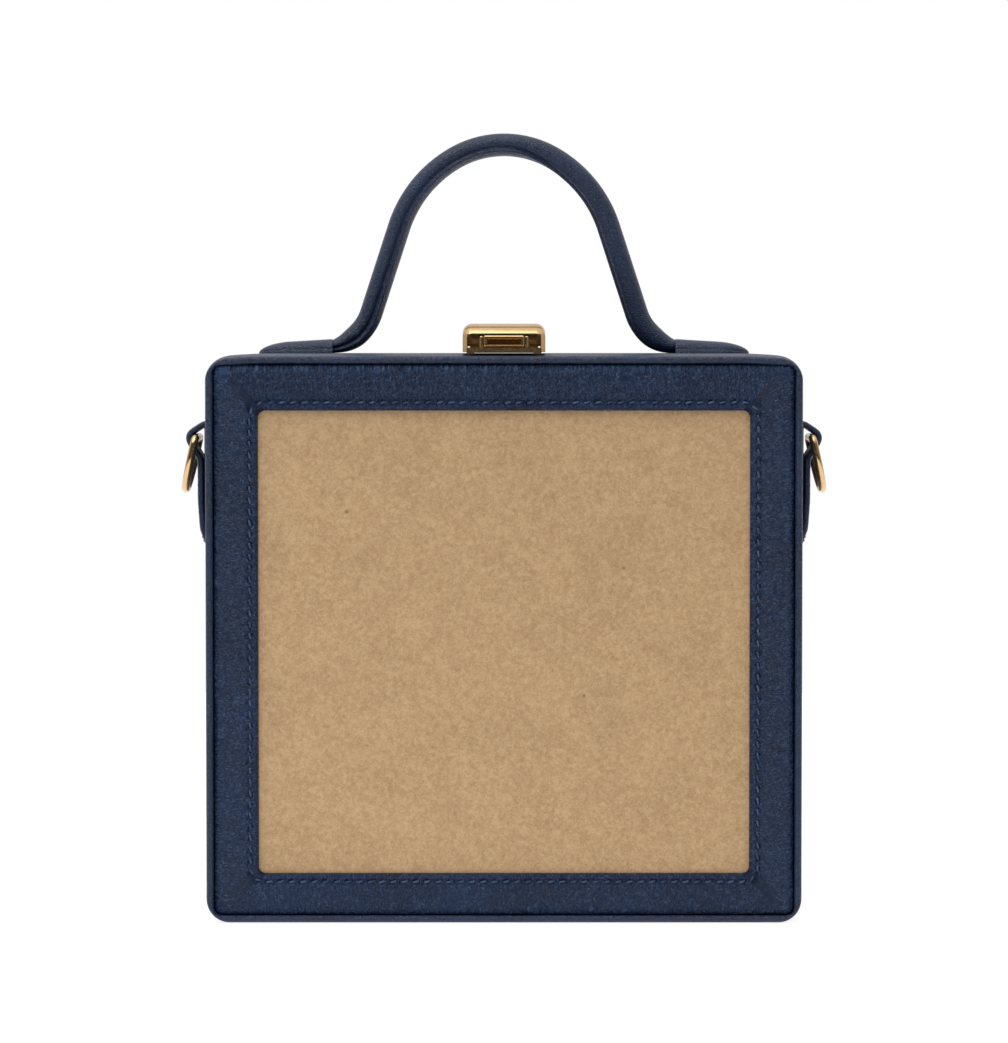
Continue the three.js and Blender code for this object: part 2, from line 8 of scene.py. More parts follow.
import bmesh
import bpy
import numpy as np
from bpy.props import FloatProperty, FloatVectorProperty, IntProperty, PointerProperty
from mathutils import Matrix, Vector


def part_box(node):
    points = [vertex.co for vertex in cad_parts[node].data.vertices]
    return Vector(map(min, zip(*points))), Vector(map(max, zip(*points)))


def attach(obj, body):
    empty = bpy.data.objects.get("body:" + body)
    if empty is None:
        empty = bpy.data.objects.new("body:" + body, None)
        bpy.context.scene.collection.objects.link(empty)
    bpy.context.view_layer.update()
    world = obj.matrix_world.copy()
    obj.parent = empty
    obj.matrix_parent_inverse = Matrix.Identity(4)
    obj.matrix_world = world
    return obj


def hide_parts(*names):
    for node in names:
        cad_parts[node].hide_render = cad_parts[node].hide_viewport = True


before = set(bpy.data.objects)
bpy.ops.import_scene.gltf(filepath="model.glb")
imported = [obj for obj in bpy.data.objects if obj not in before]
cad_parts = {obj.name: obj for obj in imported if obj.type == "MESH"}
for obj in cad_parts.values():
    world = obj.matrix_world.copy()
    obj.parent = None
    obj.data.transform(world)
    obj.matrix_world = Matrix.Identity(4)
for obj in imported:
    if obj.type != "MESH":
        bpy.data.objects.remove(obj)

bl_info = {
    "name": "Box bag",
    "version": (1, 0, 0),
    "blender": (4, 5, 0),
    "location": "View3D > Sidebar > Box bag",
    "description": "Builds the leather, board, metal and studio of a square box bag",
    "category": "Add Mesh",
}

MM = 0.001


# Measures read from the frame


def span(*nodes):
    """The lowest and highest corner of some CAD nodes together, as two arrays."""
    corners = np.array([[list(corner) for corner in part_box(node)] for node in nodes])
    return corners[:, 0].min(axis=0), corners[:, 1].max(axis=0)


BODY_LOW, BODY_HIGH = span("case_gusset", "lid_gusset")
LID_LOW, LID_HIGH = span("lid_gusset")
CASE_LOW, CASE_HIGH = span("case_gusset")
FRAME_LOW, FRAME_HIGH = span("front_frame")
BOARD_HIGH = span("board_panel")[1]
BACK_LOW, BACK_HIGH = span("back_panel")
GRIP_LOW, GRIP_HIGH = span("handle_grip")

# The flat sides and top that the margins start from: the walls' crown swells past them
SWELL = 0.7 * MM
SIDE = BODY_HIGH[0] - SWELL
TOP = BODY_HIGH[2] - SWELL


# Sizes and looks that a user may change


def length(name, description, millimetres):
    """A length in the sidebar, in millimetres here and in metres in Blender."""
    size = millimetres * MM
    return FloatProperty(name=name, description=description, default=size, unit="LENGTH", min=0.0)


def angle_of(name, description, degrees):
    """An angle in the sidebar, in degrees here and in radians in Blender."""
    turn = math.radians(degrees)
    return FloatProperty(name=name, description=description, default=turn, unit="ROTATION")


def share(name, description, value):
    """A plain number in the sidebar."""
    return FloatProperty(name=name, description=description, default=value, min=0.0)


def colour(name, description, red, green, blue):
    """A colour in the sidebar, from screen values of 0 to 255."""
    screen = np.array([red, green, blue]) / 255
    linear = np.where(screen <= 0.04045, screen / 12.92, ((screen + 0.055) / 1.055) ** 2.4)
    settings = {"subtype": "COLOR", "size": 3, "min": 0.0, "max": 1.0, "default": linear.tolist()}
    return FloatVectorProperty(name=name, description=description, **settings)


class WallSizes(bpy.types.PropertyGroup):
    """Sizes of the two leather wall shells."""

    wall: length("Wall", "Thickness of the wall", 2.1)
    outer_corner: length("Outer corner", "Corner radius seen from the front", 7.0)
    inner_corner: length("Inner corner", "Corner radius inside the wall", 2.5)
    crown: length("Crown", "How far the top and sides swell", 0.7)
    crown_power: share("Crown power", "Higher keeps the middle flatter", 6.0)
    fall: length("Fall", "How far the top drops towards its corners", 0.55)
    lip: length("Lip", "Radius of the rolled front and back edges", 1.1)
    split_roll: length("Split roll", "Radius of the rolled edges at the split", 0.6)
    ledge: length("Ledge", "How far the inner ledge reaches in", 7.0)
    ledge_depth: length("Ledge depth", "Thickness of the inner ledge", 2.0)
    hinge_room: length("Hinge room", "Set back of the bottom edge at the hinge", 1.85)
    hinge_height: length("Hinge height", "Height over which the set back fades out", 1.6)


class PanelSizes(bpy.types.PropertyGroup):
    """Sizes of the front frame and the back panel."""

    corner: length("Corner", "Corner radius of the panels and the window", 2.2)
    side: length("Side margin", "From the body's side to the window", 15.8)
    top: length("Top margin", "From the body's top to the window", 16.4)
    bottom: length("Bottom margin", "From the body's base to the window", 14.9)
    spread: length("Spread", "How far the border reaches past its node, towards the wall", 0.3)
    outer_roll: length("Outer roll", "Width over which the outer edge rolls over", 1.9)
    inner_roll: length("Inner roll", "Width over which the window's edge rolls over", 1.5)
    edge: length("Edge height", "Height of the padded leather near its edges", 1.45)
    crown: length("Padding", "Extra height in the middle of the border", 0.5)
    back_crown: length("Back padding", "Extra height in the middle of the back", 0.7)


class StitchSizes(bpy.types.PropertyGroup):
    """Sizes of the stitched rows."""

    inset: length("Inset", "From the window's edge to the row", 2.5)
    pitch: length("Pitch", "From one stitch to the next", 3.4)
    strap_pitch: length("Strap pitch", "The same on the side straps", 2.6)
    reach: length("Stitch length", "Length of the thread that shows", 2.5)
    thread: length("Thread", "Thickness of the thread", 0.74)
    channel: length("Channel depth", "How far the thread pulls the leather in", 0.42)
    channel_width: length("Channel width", "Half width of the pulled-in line", 0.75)
    slant: angle_of("Slant", "Turn of each stitch", 13)


class HandleSizes(bpy.types.PropertyGroup):
    """Sizes of the rolled handle and its tabs."""

    top_radius: length("Top radius", "Radius of the arc at the top", 30.4)
    top_angle: angle_of("Top angle", "Where the shoulders begin", 30)
    shoulder_radius: length("Shoulder radius", "Radius of the shoulders", 38.3)
    foot_radius: length("Foot radius", "Radius of the flare at each foot", 15.5)
    limb_angle: angle_of("Limb angle", "Lean of the limbs", 18)
    thickness: length("Thickness", "Thickness in the plane of the curve", 7.0)
    foot_thickness: length("Foot thickness", "Thickness where the foot enters its tab", 3.4)
    foot_width: length("Foot width", "Width where the foot enters its tab", 9.4)
    taper: length("Taper", "Length over which the foot flattens", 11.0)
    fullness: share("Fullness", "1 for an ellipse, less for squarer", 0.82)
    seam_depth: length("Seam depth", "Depth of the seam's groove", 0.5)
    seam_width: length("Seam width", "Width of the seam's groove", 0.55)
    tab_fullness: share("Tab fullness", "1 for an ellipse, less for squarer", 0.62)
    tab_fall: share("Tab fall", "Share of the height that the tab loses to its tip", 0.3)
    tab_tip: share("Tab tip", "Share of the length where the tip starts to round", 0.58)
    welt: length("Welt", "How far the tab's sewn edge stands out", 0.35)


class StrapSizes(bpy.types.PropertyGroup):
    """Sizes of the side straps and the D-rings."""

    leather: length("Leather", "Thickness at the loop", 1.9)
    doubled: length("Doubled", "Thickness of the front layer under the ring", 2.1)
    wire: length("Wire", "Radius of the ring's wire", 1.2)
    run: length("Clearance", "Space between the bar and the loop", 0.2)
    corner: length("Ring corner", "Bend between the bar and the bow", 2.0)
    lean: angle_of("Lean", "Lean of the ring", 12.5)
    bar_out: length("Bar", "From the body's side to the bar's middle", 5.1)
    bar_height: length("Bar height", "Height of the bar's middle", 145.9)
    ring_width: length("Ring width", "Overall width of the ring", 24.0)
    drop: length("Ring drop", "From the bar's middle to the bow's middle", 16.4)
    edge: length("Edge inset", "From the strap's edge to its stitches", 1.6)
    sunk: length("Sunk", "How deep the strap's stitches lie", 0.35)
    rise: length("Rise", "From the bar up to where the strap leaves the wall", 5.6)


class ClaspSizes(bpy.types.PropertyGroup):
    """Finish of the clasp's edges."""

    bevel: length("Bevel", "Radius of the polished edges", 0.16)
    segments: IntProperty(name="Segments", description="Steps round each edge", default=3, min=1)


class Looks(bpy.types.PropertyGroup):
    """Colours of the materials."""

    leather: colour("Leather", "Navy leather", 17, 41, 76)
    # The darker navy serves the slow tone patches, and the painted shade in the grain's creases.
    leather_dark_and_crease_shade: colour("Leather creases", "Navy in the creases", 7, 17, 38)
    # The paler navy serves the rubbed edges, and the painted highlights on the grain's raised lines and on
    # the wrinkles near the border's top.
    leather_rubbed_and_highlight: colour("Leather edges", "Rubbed navy on the edges", 66, 92, 130)
    thread: colour("Thread", "Navy thread", 58, 74, 104)
    board: colour("Board", "Pressed fibre board", 196, 162, 122)
    board_light: colour("Pale fibres", "Pale fibres in the board", 209, 181, 142)
    board_dark: colour("Dark fibres", "Brown fibres and specks", 150, 118, 84)
    gold: colour("Gold", "Pale gold", 220, 186, 138)
    # The deep gold serves slow tone patches, and the painted shade in the clasp's creases and in the recess
    # round the press tab.
    gold_deep_and_recess_shade: colour("Deep gold", "Gold in the recesses", 162, 98, 30)


class StudioSizes(bpy.types.PropertyGroup):
    """Camera and light."""

    distance: FloatProperty(name="Distance", description="Camera to the front", default=1.3, unit="LENGTH")
    height: length("Height", "Camera above the floor", 178.3)
    pitch: angle_of("Pitch", "Camera's tilt down", 2.5)
    lens: share("Lens", "Focal length in millimetres", 149.07)
    key: share("Key", "Power of the light at the upper left", 10.0)
    fill: share("Fill", "Power of the light at the right", 0.8)
    top: share("Top", "Power of the light overhead", 10.0)
    sky: share("Sky", "Brightness of the studio above", 0.9)
    back: share("Back", "Brightness of the studio behind the bag", 0.75)
    room: share("Room", "Brightness of the studio in front of the bag", 0.07)
    ground: share("Ground", "Extra brightness of the studio below", 0.1)


class BagSettings(bpy.types.PropertyGroup):
    """All the settings of the bag."""

    walls: PointerProperty(type=WallSizes)
    panels: PointerProperty(type=PanelSizes)
    stitches: PointerProperty(type=StitchSizes)
    handle: PointerProperty(type=HandleSizes)
    straps: PointerProperty(type=StrapSizes)
    clasp: PointerProperty(type=ClaspSizes)
    looks: PointerProperty(type=Looks)
    studio: PointerProperty(type=StudioSizes)


# Arrays


def smoothstep(value, low, high):
    """0 below low, 1 above high, and the cubic 3t^2 - 2t^3 between them."""
    t = np.clip((value - low) / (high - low), 0, 1)
    return t * t * (3 - 2 * t)


def bell(value, middle, width):
    """A bell curve of height 1: e to the minus square of the distance in widths."""
    return np.exp(-(((value - middle) / width) ** 2))


def full(value, power):
    """A sine or cosine squared off: its size to a power under 1, with its sign."""
    return np.sign(value) * np.abs(value) ** power


def arc(centre, radius, start, end, steps):
    """Points of a circle round centre from one angle to another, in degrees."""
    angles = np.radians(np.linspace(start, end, steps + 1))
    return np.column_stack([centre[0] + radius * np.cos(angles), centre[1] + radius * np.sin(angles)])


def steps_of(points, closed=False):
    """Lengths of the steps along a polyline, with the step back to the first point of a closed one."""
    line = np.vstack([points, points[:1]]) if closed else points
    return np.linalg.norm(np.diff(line, axis=0), axis=1)


def resample(points, count, closed=False):
    """Points spread evenly by length along a polyline, without repeating the first one of a closed line."""
    line = np.vstack([points, points[:1]]) if closed else points
    along = np.concatenate([[0], np.cumsum(steps_of(line))])
    wanted = np.linspace(0, along[-1], count, endpoint=not closed)
    return np.column_stack([np.interp(wanted, along, line[:, i]) for i in range(line.shape[1])])


def directions(points, closed=False):
    """Unit tangents along a polyline, by central differences."""
    if closed:
        run = np.roll(points, -1, axis=0) - np.roll(points, 1, axis=0)
    else:
        run = np.gradient(points, axis=0)
    return run / np.linalg.norm(run, axis=1, keepdims=True)


def square_loop(half_width, bottom, top, radius, per_corner=16, per_side=32):
    """Rounded squares that share their stations.

    Each argument may be an array with one value for each square. The four corner arcs are circles round
    points one radius in from the edges, and the sides are straight lines between them. The result has a row
    for each station and a column for each square, with x and z.
    """
    half_width, bottom, top, radius = np.broadcast_arrays(half_width, bottom, top, radius)
    side_x = np.array([1, 1, -1, -1])[:, None, None]
    low = np.array([1, 0, 0, 1])[:, None, None]
    start = np.array([-90, 0, 90, 180])[:, None, None]
    angles = np.radians(start + np.linspace(0, 90, per_corner + 1)[None, :, None])
    x = side_x * (half_width - radius) + radius * np.cos(angles)
    z = np.where(low, bottom + radius, top - radius) + radius * np.sin(angles)
    arcs = np.stack([x, z], axis=-1)
    t = (np.arange(1, per_side + 1) / (per_side + 1))[None, :, None, None]
    sides = arcs[:, -1:] * (1 - t) + np.roll(arcs, -1, axis=0)[:, :1] * t
    return np.concatenate([arcs, sides], axis=1).reshape(-1, *arcs.shape[2:])


def sweep(points, across, up, section):
    """A section carried along a path: each point plus the section's first number times the across vector
    plus its second times the up vector. The section may change from point to point."""
    section = np.broadcast_to(section, (len(points), *section.shape[-2:]))
    return points[:, None] + section[..., :1] * across[:, None] + section[..., 1:] * up[:, None]


# Meshes

SHARP_ANGLE = math.radians(42)


def quads(rows, columns, close_rows, close_columns):
    """Corner numbers of the quads of a grid, as rows of four."""
    index = np.arange(rows * columns).reshape(rows, columns)
    if close_rows:
        index = np.vstack([index, index[:1]])
    if close_columns:
        index = np.hstack([index, index[:, :1]])
    corners = [index[:-1, :-1], index[:-1, 1:], index[1:, 1:], index[1:, :-1]]
    return np.stack(corners, axis=-1).reshape(-1, 4)


def volume(points, faces):
    """Signed volume under a set of quads: a sixth of the sum of the triple products of their triangles."""
    a, b, c, d = (points[faces[:, i]] for i in range(4))
    return (np.einsum("ij,ij->i", a, np.cross(b, c)) + np.einsum("ij,ij->i", a, np.cross(c, d))).sum() / 6


def surface(name, grids, close_rows=False, uvs=None):
    """A mesh object from one grid of points, or a stack of like grids, in metres.

    Columns always close. Grids that don't close along their rows get a flat face at each end. The faces are
    turned outwards by the sign of the volume. Each named grid in uvs has one more row and column than the
    points, as both close there.
    """
    grids = np.asarray(grids, dtype=float)
    if grids.ndim == 3:
        grids = grids[None]
    count, rows, columns, _ = grids.shape
    local = quads(rows, columns, close_rows, True)
    first = grids[0].reshape(-1, 3)
    turned = volume(first - first.mean(axis=0), local) < 0
    faces = (local[None] + (np.arange(count) * rows * columns)[:, None, None]).reshape(-1, 4)
    if turned:
        faces = faces[:, ::-1]
    polygons = faces.tolist()
    if not close_rows:
        start = np.arange(columns)
        end = start + (rows - 1) * columns
        rings = np.stack([start[::-1], end] if not turned else [start, end[::-1]])
        caps = (rings[None] + (np.arange(count) * rows * columns)[:, None, None]).reshape(-1, columns)
        polygons += caps.tolist()
    mesh = bpy.data.meshes.new(name)
    mesh.from_pydata(grids.reshape(-1, 3).tolist(), [], polygons)
    mesh.polygons.foreach_set("use_smooth", np.ones(len(polygons), dtype=bool))
    for label, uv in (uvs or {}).items():
        corners = quads(*uv.shape[:2], False, False)
        if turned:
            corners = corners[:, ::-1]
        flat = np.zeros((len(mesh.loops), 2))
        flat[: corners.size] = uv.reshape(-1, 2)[corners.reshape(-1)]
        mesh.uv_layers.new(name=label).data.foreach_set("uv", flat.reshape(-1))
    mesh.set_sharp_from_angle(angle=SHARP_ANGLE)
    mesh.validate()
    piece = bpy.data.objects.new(name, mesh)
    bpy.context.scene.collection.objects.link(piece)
    return piece


def place(piece, body, material, slot, *nodes):
    """Gives a piece its material and the body that it rides on, and hides the nodes that it stands for. The
    slot is not used.
    """
    piece.data.materials.clear()
    piece.data.materials.append(material)
    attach(piece, body)
    if nodes:
        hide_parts(*nodes)


# Shader graphs


class Graph:
    """Adds nodes to a shader tree, each with its settings and its links in one call."""

    def __init__(self, tree):
        self.tree = tree

    def add(self, kind, sockets=None, **settings):
        """A new node with its settings and its sockets."""
        node = self.tree.nodes.new(kind)
        for key, value in settings.items():
            setattr(node, key, value)
        return self.fill(node, sockets or {})

    def fill(self, node, sockets):
        """Fills a node's sockets, given by name or number, with a value or with the output to link."""
        for key, value in sockets.items():
            if isinstance(value, bpy.types.NodeSocket):
                self.tree.links.new(value, node.inputs[key])
            else:
                node.inputs[key].default_value = value
        return node

    def math(self, operation, first, second=0.0, third=0.0):
        """The output of a math node."""
        return self.add("ShaderNodeMath", {0: first, 1: second, 2: third}, operation=operation).outputs[0]

    def vector(self, operation, sockets):
        """The output of a vector math node."""
        return self.add("ShaderNodeVectorMath", sockets, operation=operation).outputs[0]

    def times(self, first, second):
        """The product of two values."""
        return self.math("MULTIPLY", first, second)

    def parts(self, vector):
        """The three parts of a vector, as outputs."""
        return self.add("ShaderNodeSeparateXYZ", {0: vector}).outputs

    def bump(self, height, distance, strength=1.0):
        """The normal of a height that is as many metres deep as the distance says."""
        sockets = {"Height": height, "Distance": distance, "Strength": strength}
        return self.add("ShaderNodeBump", sockets).outputs[0]

    def mix(self, factor, first, second):
        """The output of a colour mix."""
        node = self.add("ShaderNodeMix", {0: factor, 6: first, 7: second}, data_type="RGBA")
        return node.outputs[2]

    def fade(self, value, low, high, start=0.0, end=1.0):
        """The output of a smooth step from start to end as the value goes from low to high."""
        sockets = {"Value": value, "From Min": low, "From Max": high, "To Min": start, "To Max": end}
        node = self.add("ShaderNodeMapRange", sockets, interpolation_type="SMOOTHSTEP")
        return node.outputs[0]

    def close(self, value, middle, width):
        """The output that is 1 where the value meets the middle and falls to 0 a width away."""
        return self.fade(self.math("ABSOLUTE", self.math("SUBTRACT", value, middle)), width, 0.0)

    def noise(self, vector, scale, detail=2.0, roughness=0.5, distortion=0.0):
        """The output of a noise texture."""
        sockets = {"Vector": vector, "Scale": scale, "Detail": detail}
        sockets |= {"Roughness": roughness, "Distortion": distortion}
        return self.add("ShaderNodeTexNoise", sockets).outputs[0]

    def stretched(self, vector, scale, turn=0.0):
        """The output of a mapping node that stretches and turns a pattern."""
        sockets = {"Vector": vector, "Scale": scale, "Rotation": (0, 0, turn)}
        return self.add("ShaderNodeMapping", sockets).outputs[0]


def rgba(value):
    """A colour property with its alpha."""
    return (*value, 1.0)


def effect(name, inputs, outputs):
    """A new shader group: (graph, input node's outputs, output node).

    An input is a number with its default, or a vector where that is None. The outputs are numbers.
    """
    tree = bpy.data.node_groups.new(name, "ShaderNodeTree")
    for label, default in inputs.items():
        kind = "NodeSocketVector" if default is None else "NodeSocketFloat"
        socket = tree.interface.new_socket(name=label, in_out="INPUT", socket_type=kind)
        if default is not None:
            socket.default_value = default
    for label in outputs:
        tree.interface.new_socket(name=label, in_out="OUTPUT", socket_type="NodeSocketFloat")
    graph = Graph(tree)
    return graph, graph.add("NodeGroupInput").outputs, graph.add("NodeGroupOutput")


def grain_effect():
    """Leather grain: rounded pebbles with creases between them, thin raised lines and fine pores."""
    inputs = {"Vector": None, "Pebble": 900.0, "Pore": 2600.0}
    graph, given, result = effect("leather_grain", inputs, ("Height", "Crease", "Line"))
    way = {"Vector": given["Vector"], "Scale": 420.0, "Detail": 1.0}
    wander = graph.add("ShaderNodeTexNoise", way).outputs[1]
    push = graph.vector("SUBTRACT", {0: wander, 1: (0.5, 0.5, 0.5)})
    push = graph.vector("SCALE", {0: push, "Scale": 0.0005})
    bent = graph.vector("ADD", {0: given["Vector"], 1: push})
    cells = {"Vector": bent, "Scale": given["Pebble"]}
    near = graph.add("ShaderNodeTexVoronoi", cells).outputs[0]
    border = graph.add("ShaderNodeTexVoronoi", cells, feature="DISTANCE_TO_EDGE").outputs[0]
    pebble = graph.fade(border, 0.0, 0.4)
    soft = graph.noise(bent, graph.times(given["Pebble"], 0.7), 2.0, 0.6)
    line = graph.close(soft, 0.52, 0.06)
    pore = graph.noise(given["Vector"], given["Pore"], 1.0, 0.5)
    height = graph.math("MULTIPLY_ADD", near, -0.4, pebble)
    height = graph.math("MULTIPLY_ADD", line, 0.9, height)
    height = graph.math("MULTIPLY_ADD", pore, 0.25, height)
    graph.fill(result, {"Height": height, "Crease": graph.fade(border, 0.14, 0.0), "Line": line})
    return graph.tree


def wrinkle_effect():
    """Wrinkles of leather that is turned over an edge: U runs along the edge and V away from it."""
    inputs = {"Vector": None, "Reach": 0.0032, "Spacing": 1100.0}
    graph, given, result = effect("edge_wrinkles", inputs, ("Height",))
    parts = graph.parts(given["Vector"])
    long = graph.stretched(given["Vector"], (1.0, 0.2, 1.0))
    ridge = graph.noise(long, given["Spacing"], 1.0, 0.4, 0.3)
    ridge = graph.fade(ridge, 0.38, 0.62)
    patchy = graph.fade(graph.noise(given["Vector"], 160.0, 1.0), 0.35, 0.6, 0.35, 1.0)
    near = graph.fade(graph.math("DIVIDE", parts[1], given["Reach"]), 1.0, 0.3)
    graph.fill(result, {"Height": graph.times(graph.times(ridge, near), patchy)})
    return graph.tree


def patch_effect():
    """Slow patches of tone, from two soft noises."""
    graph, given, result = effect("tone_patches", {"Vector": None, "Size": 60.0}, ("Tone", "Fine"))
    tone = graph.noise(given["Vector"], given["Size"], 3.0, 0.55)
    fine = graph.noise(given["Vector"], graph.times(given["Size"], 9.0), 2.0, 0.6)
    graph.fill(result, {"Tone": tone, "Fine": fine})
    return graph.tree


def edge_effect():
    """A mask of the worn edges: one where the surface turns sharply outwards, broken up by noise."""
    graph, given, result = effect("edge_wear", {"Vector": None}, ("Mask",))
    pointed = graph.add("ShaderNodeNewGeometry").outputs["Pointiness"]
    edge = graph.fade(pointed, 0.52, 0.6)
    broken = graph.fade(graph.noise(given["Vector"], 700.0, 3.0), 0.35, 0.7)
    graph.fill(result, {"Mask": graph.times(edge, broken)})
    return graph.tree


def fibre_effect():
    """Pressed fibres: thin curling lines in three directions, from the zero lines of stretched noises."""
    inputs = {"Vector": None, "Size": 420.0}
    graph, given, result = effect("pressed_fibres", inputs, ("Pale", "Dark", "Height"))
    pale = dark = height = None
    for turn, offset in ((0.3, 0.0), (1.35, 0.05), (2.4, 0.11)):
        moved = graph.vector("ADD", {0: given["Vector"], 1: (offset, 0, offset)})
        sockets = {"Vector": moved, "Rotation": (0, turn, 0), "Scale": (1, 1, 2.2)}
        turned = graph.add("ShaderNodeMapping", sockets, vector_type="TEXTURE").outputs[0]
        soft = graph.noise(turned, given["Size"], 3.0, 0.62, 0.6)
        line = graph.close(soft, 0.56, 0.035)
        shade = graph.close(soft, 0.42, 0.03)
        pale = line if pale is None else graph.math("MAXIMUM", pale, line)
        dark = shade if dark is None else graph.math("MAXIMUM", dark, shade)
        height = soft if height is None else graph.math("ADD", height, soft)
    graph.fill(result, {"Pale": pale, "Dark": dark, "Height": height})
    return graph.tree


def pucker_effect():
    """Pull of a row of stitches: U counts stitches, V is the distance from the row. Hole marks the stitch
    holes, where the leather gets painted shade.
    """
    inputs = {"Vector": None, "Width": 0.0011}
    graph, given, result = effect("stitch_pucker", inputs, ("Height", "Hole"))
    parts = graph.parts(given["Vector"])
    wave = graph.math("COSINE", graph.times(parts[0], 2 * math.pi))
    far = graph.math("DIVIDE", graph.math("ABSOLUTE", parts[1]), given["Width"])
    near = graph.fade(far, 1.6, 0.0)
    hole = graph.times(graph.fade(wave, -0.72, -1.0), graph.fade(far, 0.42, 0.1))
    graph.fill(result, {"Height": graph.times(wave, near), "Hole": hole})
    return graph.tree


def effects():
    """The shader groups, each made once."""
    makers = {
        "leather_grain": grain_effect,
        "edge_wrinkles": wrinkle_effect,
        "tone_patches": patch_effect,
        "edge_wear": edge_effect,
        "pressed_fibres": fibre_effect,
        "stitch_pucker": pucker_effect,
    }
    return {name: bpy.data.node_groups.get(name) or make() for name, make in makers.items()}


def new_material(name):
    """A material with an empty Principled shader: (material, graph, shader)."""
    material = bpy.data.materials.new(name)
    material.use_nodes = True
    material.node_tree.nodes.clear()
    graph = Graph(material.node_tree)
    shader = graph.add("ShaderNodeBsdfPrincipled")
    graph.add("ShaderNodeOutputMaterial", {0: shader.outputs[0]})
    return material, graph, shader


def group(graph, name, sockets):
    """The outputs of one of the shared groups."""
    return graph.add("ShaderNodeGroup", sockets, node_tree=effects()[name]).outputs


def leather(name, looks, bump=0.00012, shine=0.5, pebble=1000.0, border=False):
    """Navy leather, with painted shade in the grain's creases and a painted highlight on its raised lines. On
    the border the grain is stretched across the strip, where the leather is pulled over its edges, and the
    stitches pull it in.
    There the wrinkles near the top also get a painted highlight, and the stitch holes painted shade."""
    found = bpy.data.materials.get(name)
    if found:
        return found
    material, graph, shader = new_material(name)
    where = graph.add("ShaderNodeTexCoord").outputs
    strip = graph.add("ShaderNodeUVMap", uv_map="UVMap").outputs[0] if border else None
    pattern = graph.stretched(strip, (1.0, 0.6, 1.0)) if border else where["Object"]
    grain = group(graph, "leather_grain", {"Vector": pattern, "Pebble": pebble, "Pore": 3000.0})
    tone = group(graph, "tone_patches", {"Vector": where["Object"], "Size": 45.0})
    worn = group(graph, "edge_wear", {"Vector": where["Object"]})
    dark = rgba(looks.leather_dark_and_crease_shade)
    pale = rgba(looks.leather_rubbed_and_highlight)
    base = graph.mix(graph.fade(tone["Tone"], 0.3, 0.75, 0.0, 0.5), rgba(looks.leather), dark)
    # Painted shade: the grain's creases are darkened.
    base = graph.mix(graph.times(grain["Crease"], 0.5), base, dark)
    base = graph.mix(graph.times(worn["Mask"], 0.5), base, pale)
    # Painted highlight: the grain's raised lines are lightened, fully on the border and a little elsewhere.
    light = graph.times(grain["Line"], graph.fade(tone["Fine"], 0.35, 0.65, 0.12, 0.55))
    light = light if border else graph.times(light, 0.22)
    base = graph.mix(light, base, pale)
    height = grain["Height"]
    if border:
        turned = group(graph, "edge_wrinkles", {"Vector": strip})
        height = graph.math("MULTIPLY_ADD", turned["Height"], 2.2, height)
        # Painted highlight: near the top of the border the wrinkles are lightened, as light falls there from
        # above.
        above = graph.parts(where["Object"])[2]
        lit = graph.fade(above, BODY_HIGH[2] - 14 * MM, BODY_HIGH[2] - 4 * MM, 0.0, 0.75)
        base = graph.mix(graph.times(turned["Height"], lit), base, pale)
        row = graph.add("ShaderNodeUVMap", uv_map="Row").outputs[0]
        pull = group(graph, "stitch_pucker", {"Vector": row})
        # Painted shade: the stitch holes are darkened almost to black.
        base = graph.mix(pull["Hole"], base, (0.001, 0.002, 0.005, 1.0))
        height = graph.math("MULTIPLY_ADD", pull["Height"], 1.8, height)
    rough = graph.fade(tone["Fine"], 0.25, 0.75, 0.3, 0.42)
    rough = graph.math("MULTIPLY_ADD", grain["Crease"], 0.15, rough)
    normal = graph.bump(height, bump)
    graph.fill(shader, {"Base Color": base, "Roughness": rough, "Normal": normal})
    graph.fill(shader, {"Specular IOR Level": shine})
    return material


def handle_leather(looks):
    """The finer leather of the handle, its tabs and the straps."""
    return leather("handle_leather", looks, bump=0.00008, pebble=1300.0)


def thread_material(looks):
    """Twisted navy thread: fine slanted ridges along each stitch."""
    found = bpy.data.materials.get("navy_thread")
    if found:
        return found
    material, graph, shader = new_material("navy_thread")
    where = graph.add("ShaderNodeTexCoord").outputs
    twist = graph.noise(graph.stretched(where["Object"], (1, 1, 1), 0.6), 2600.0, 2.0, 0.6)
    tone = group(graph, "tone_patches", {"Vector": where["Object"], "Size": 200.0})
    base = graph.mix(graph.fade(tone["Tone"], 0.35, 0.7), rgba(looks.thread), rgba(looks.leather))
    rough = graph.fade(tone["Fine"], 0.2, 0.8, 0.42, 0.62)
    graph.fill(shader, {"Base Color": base, "Roughness": rough, "Normal": graph.bump(twist, 0.00012)})
    return material


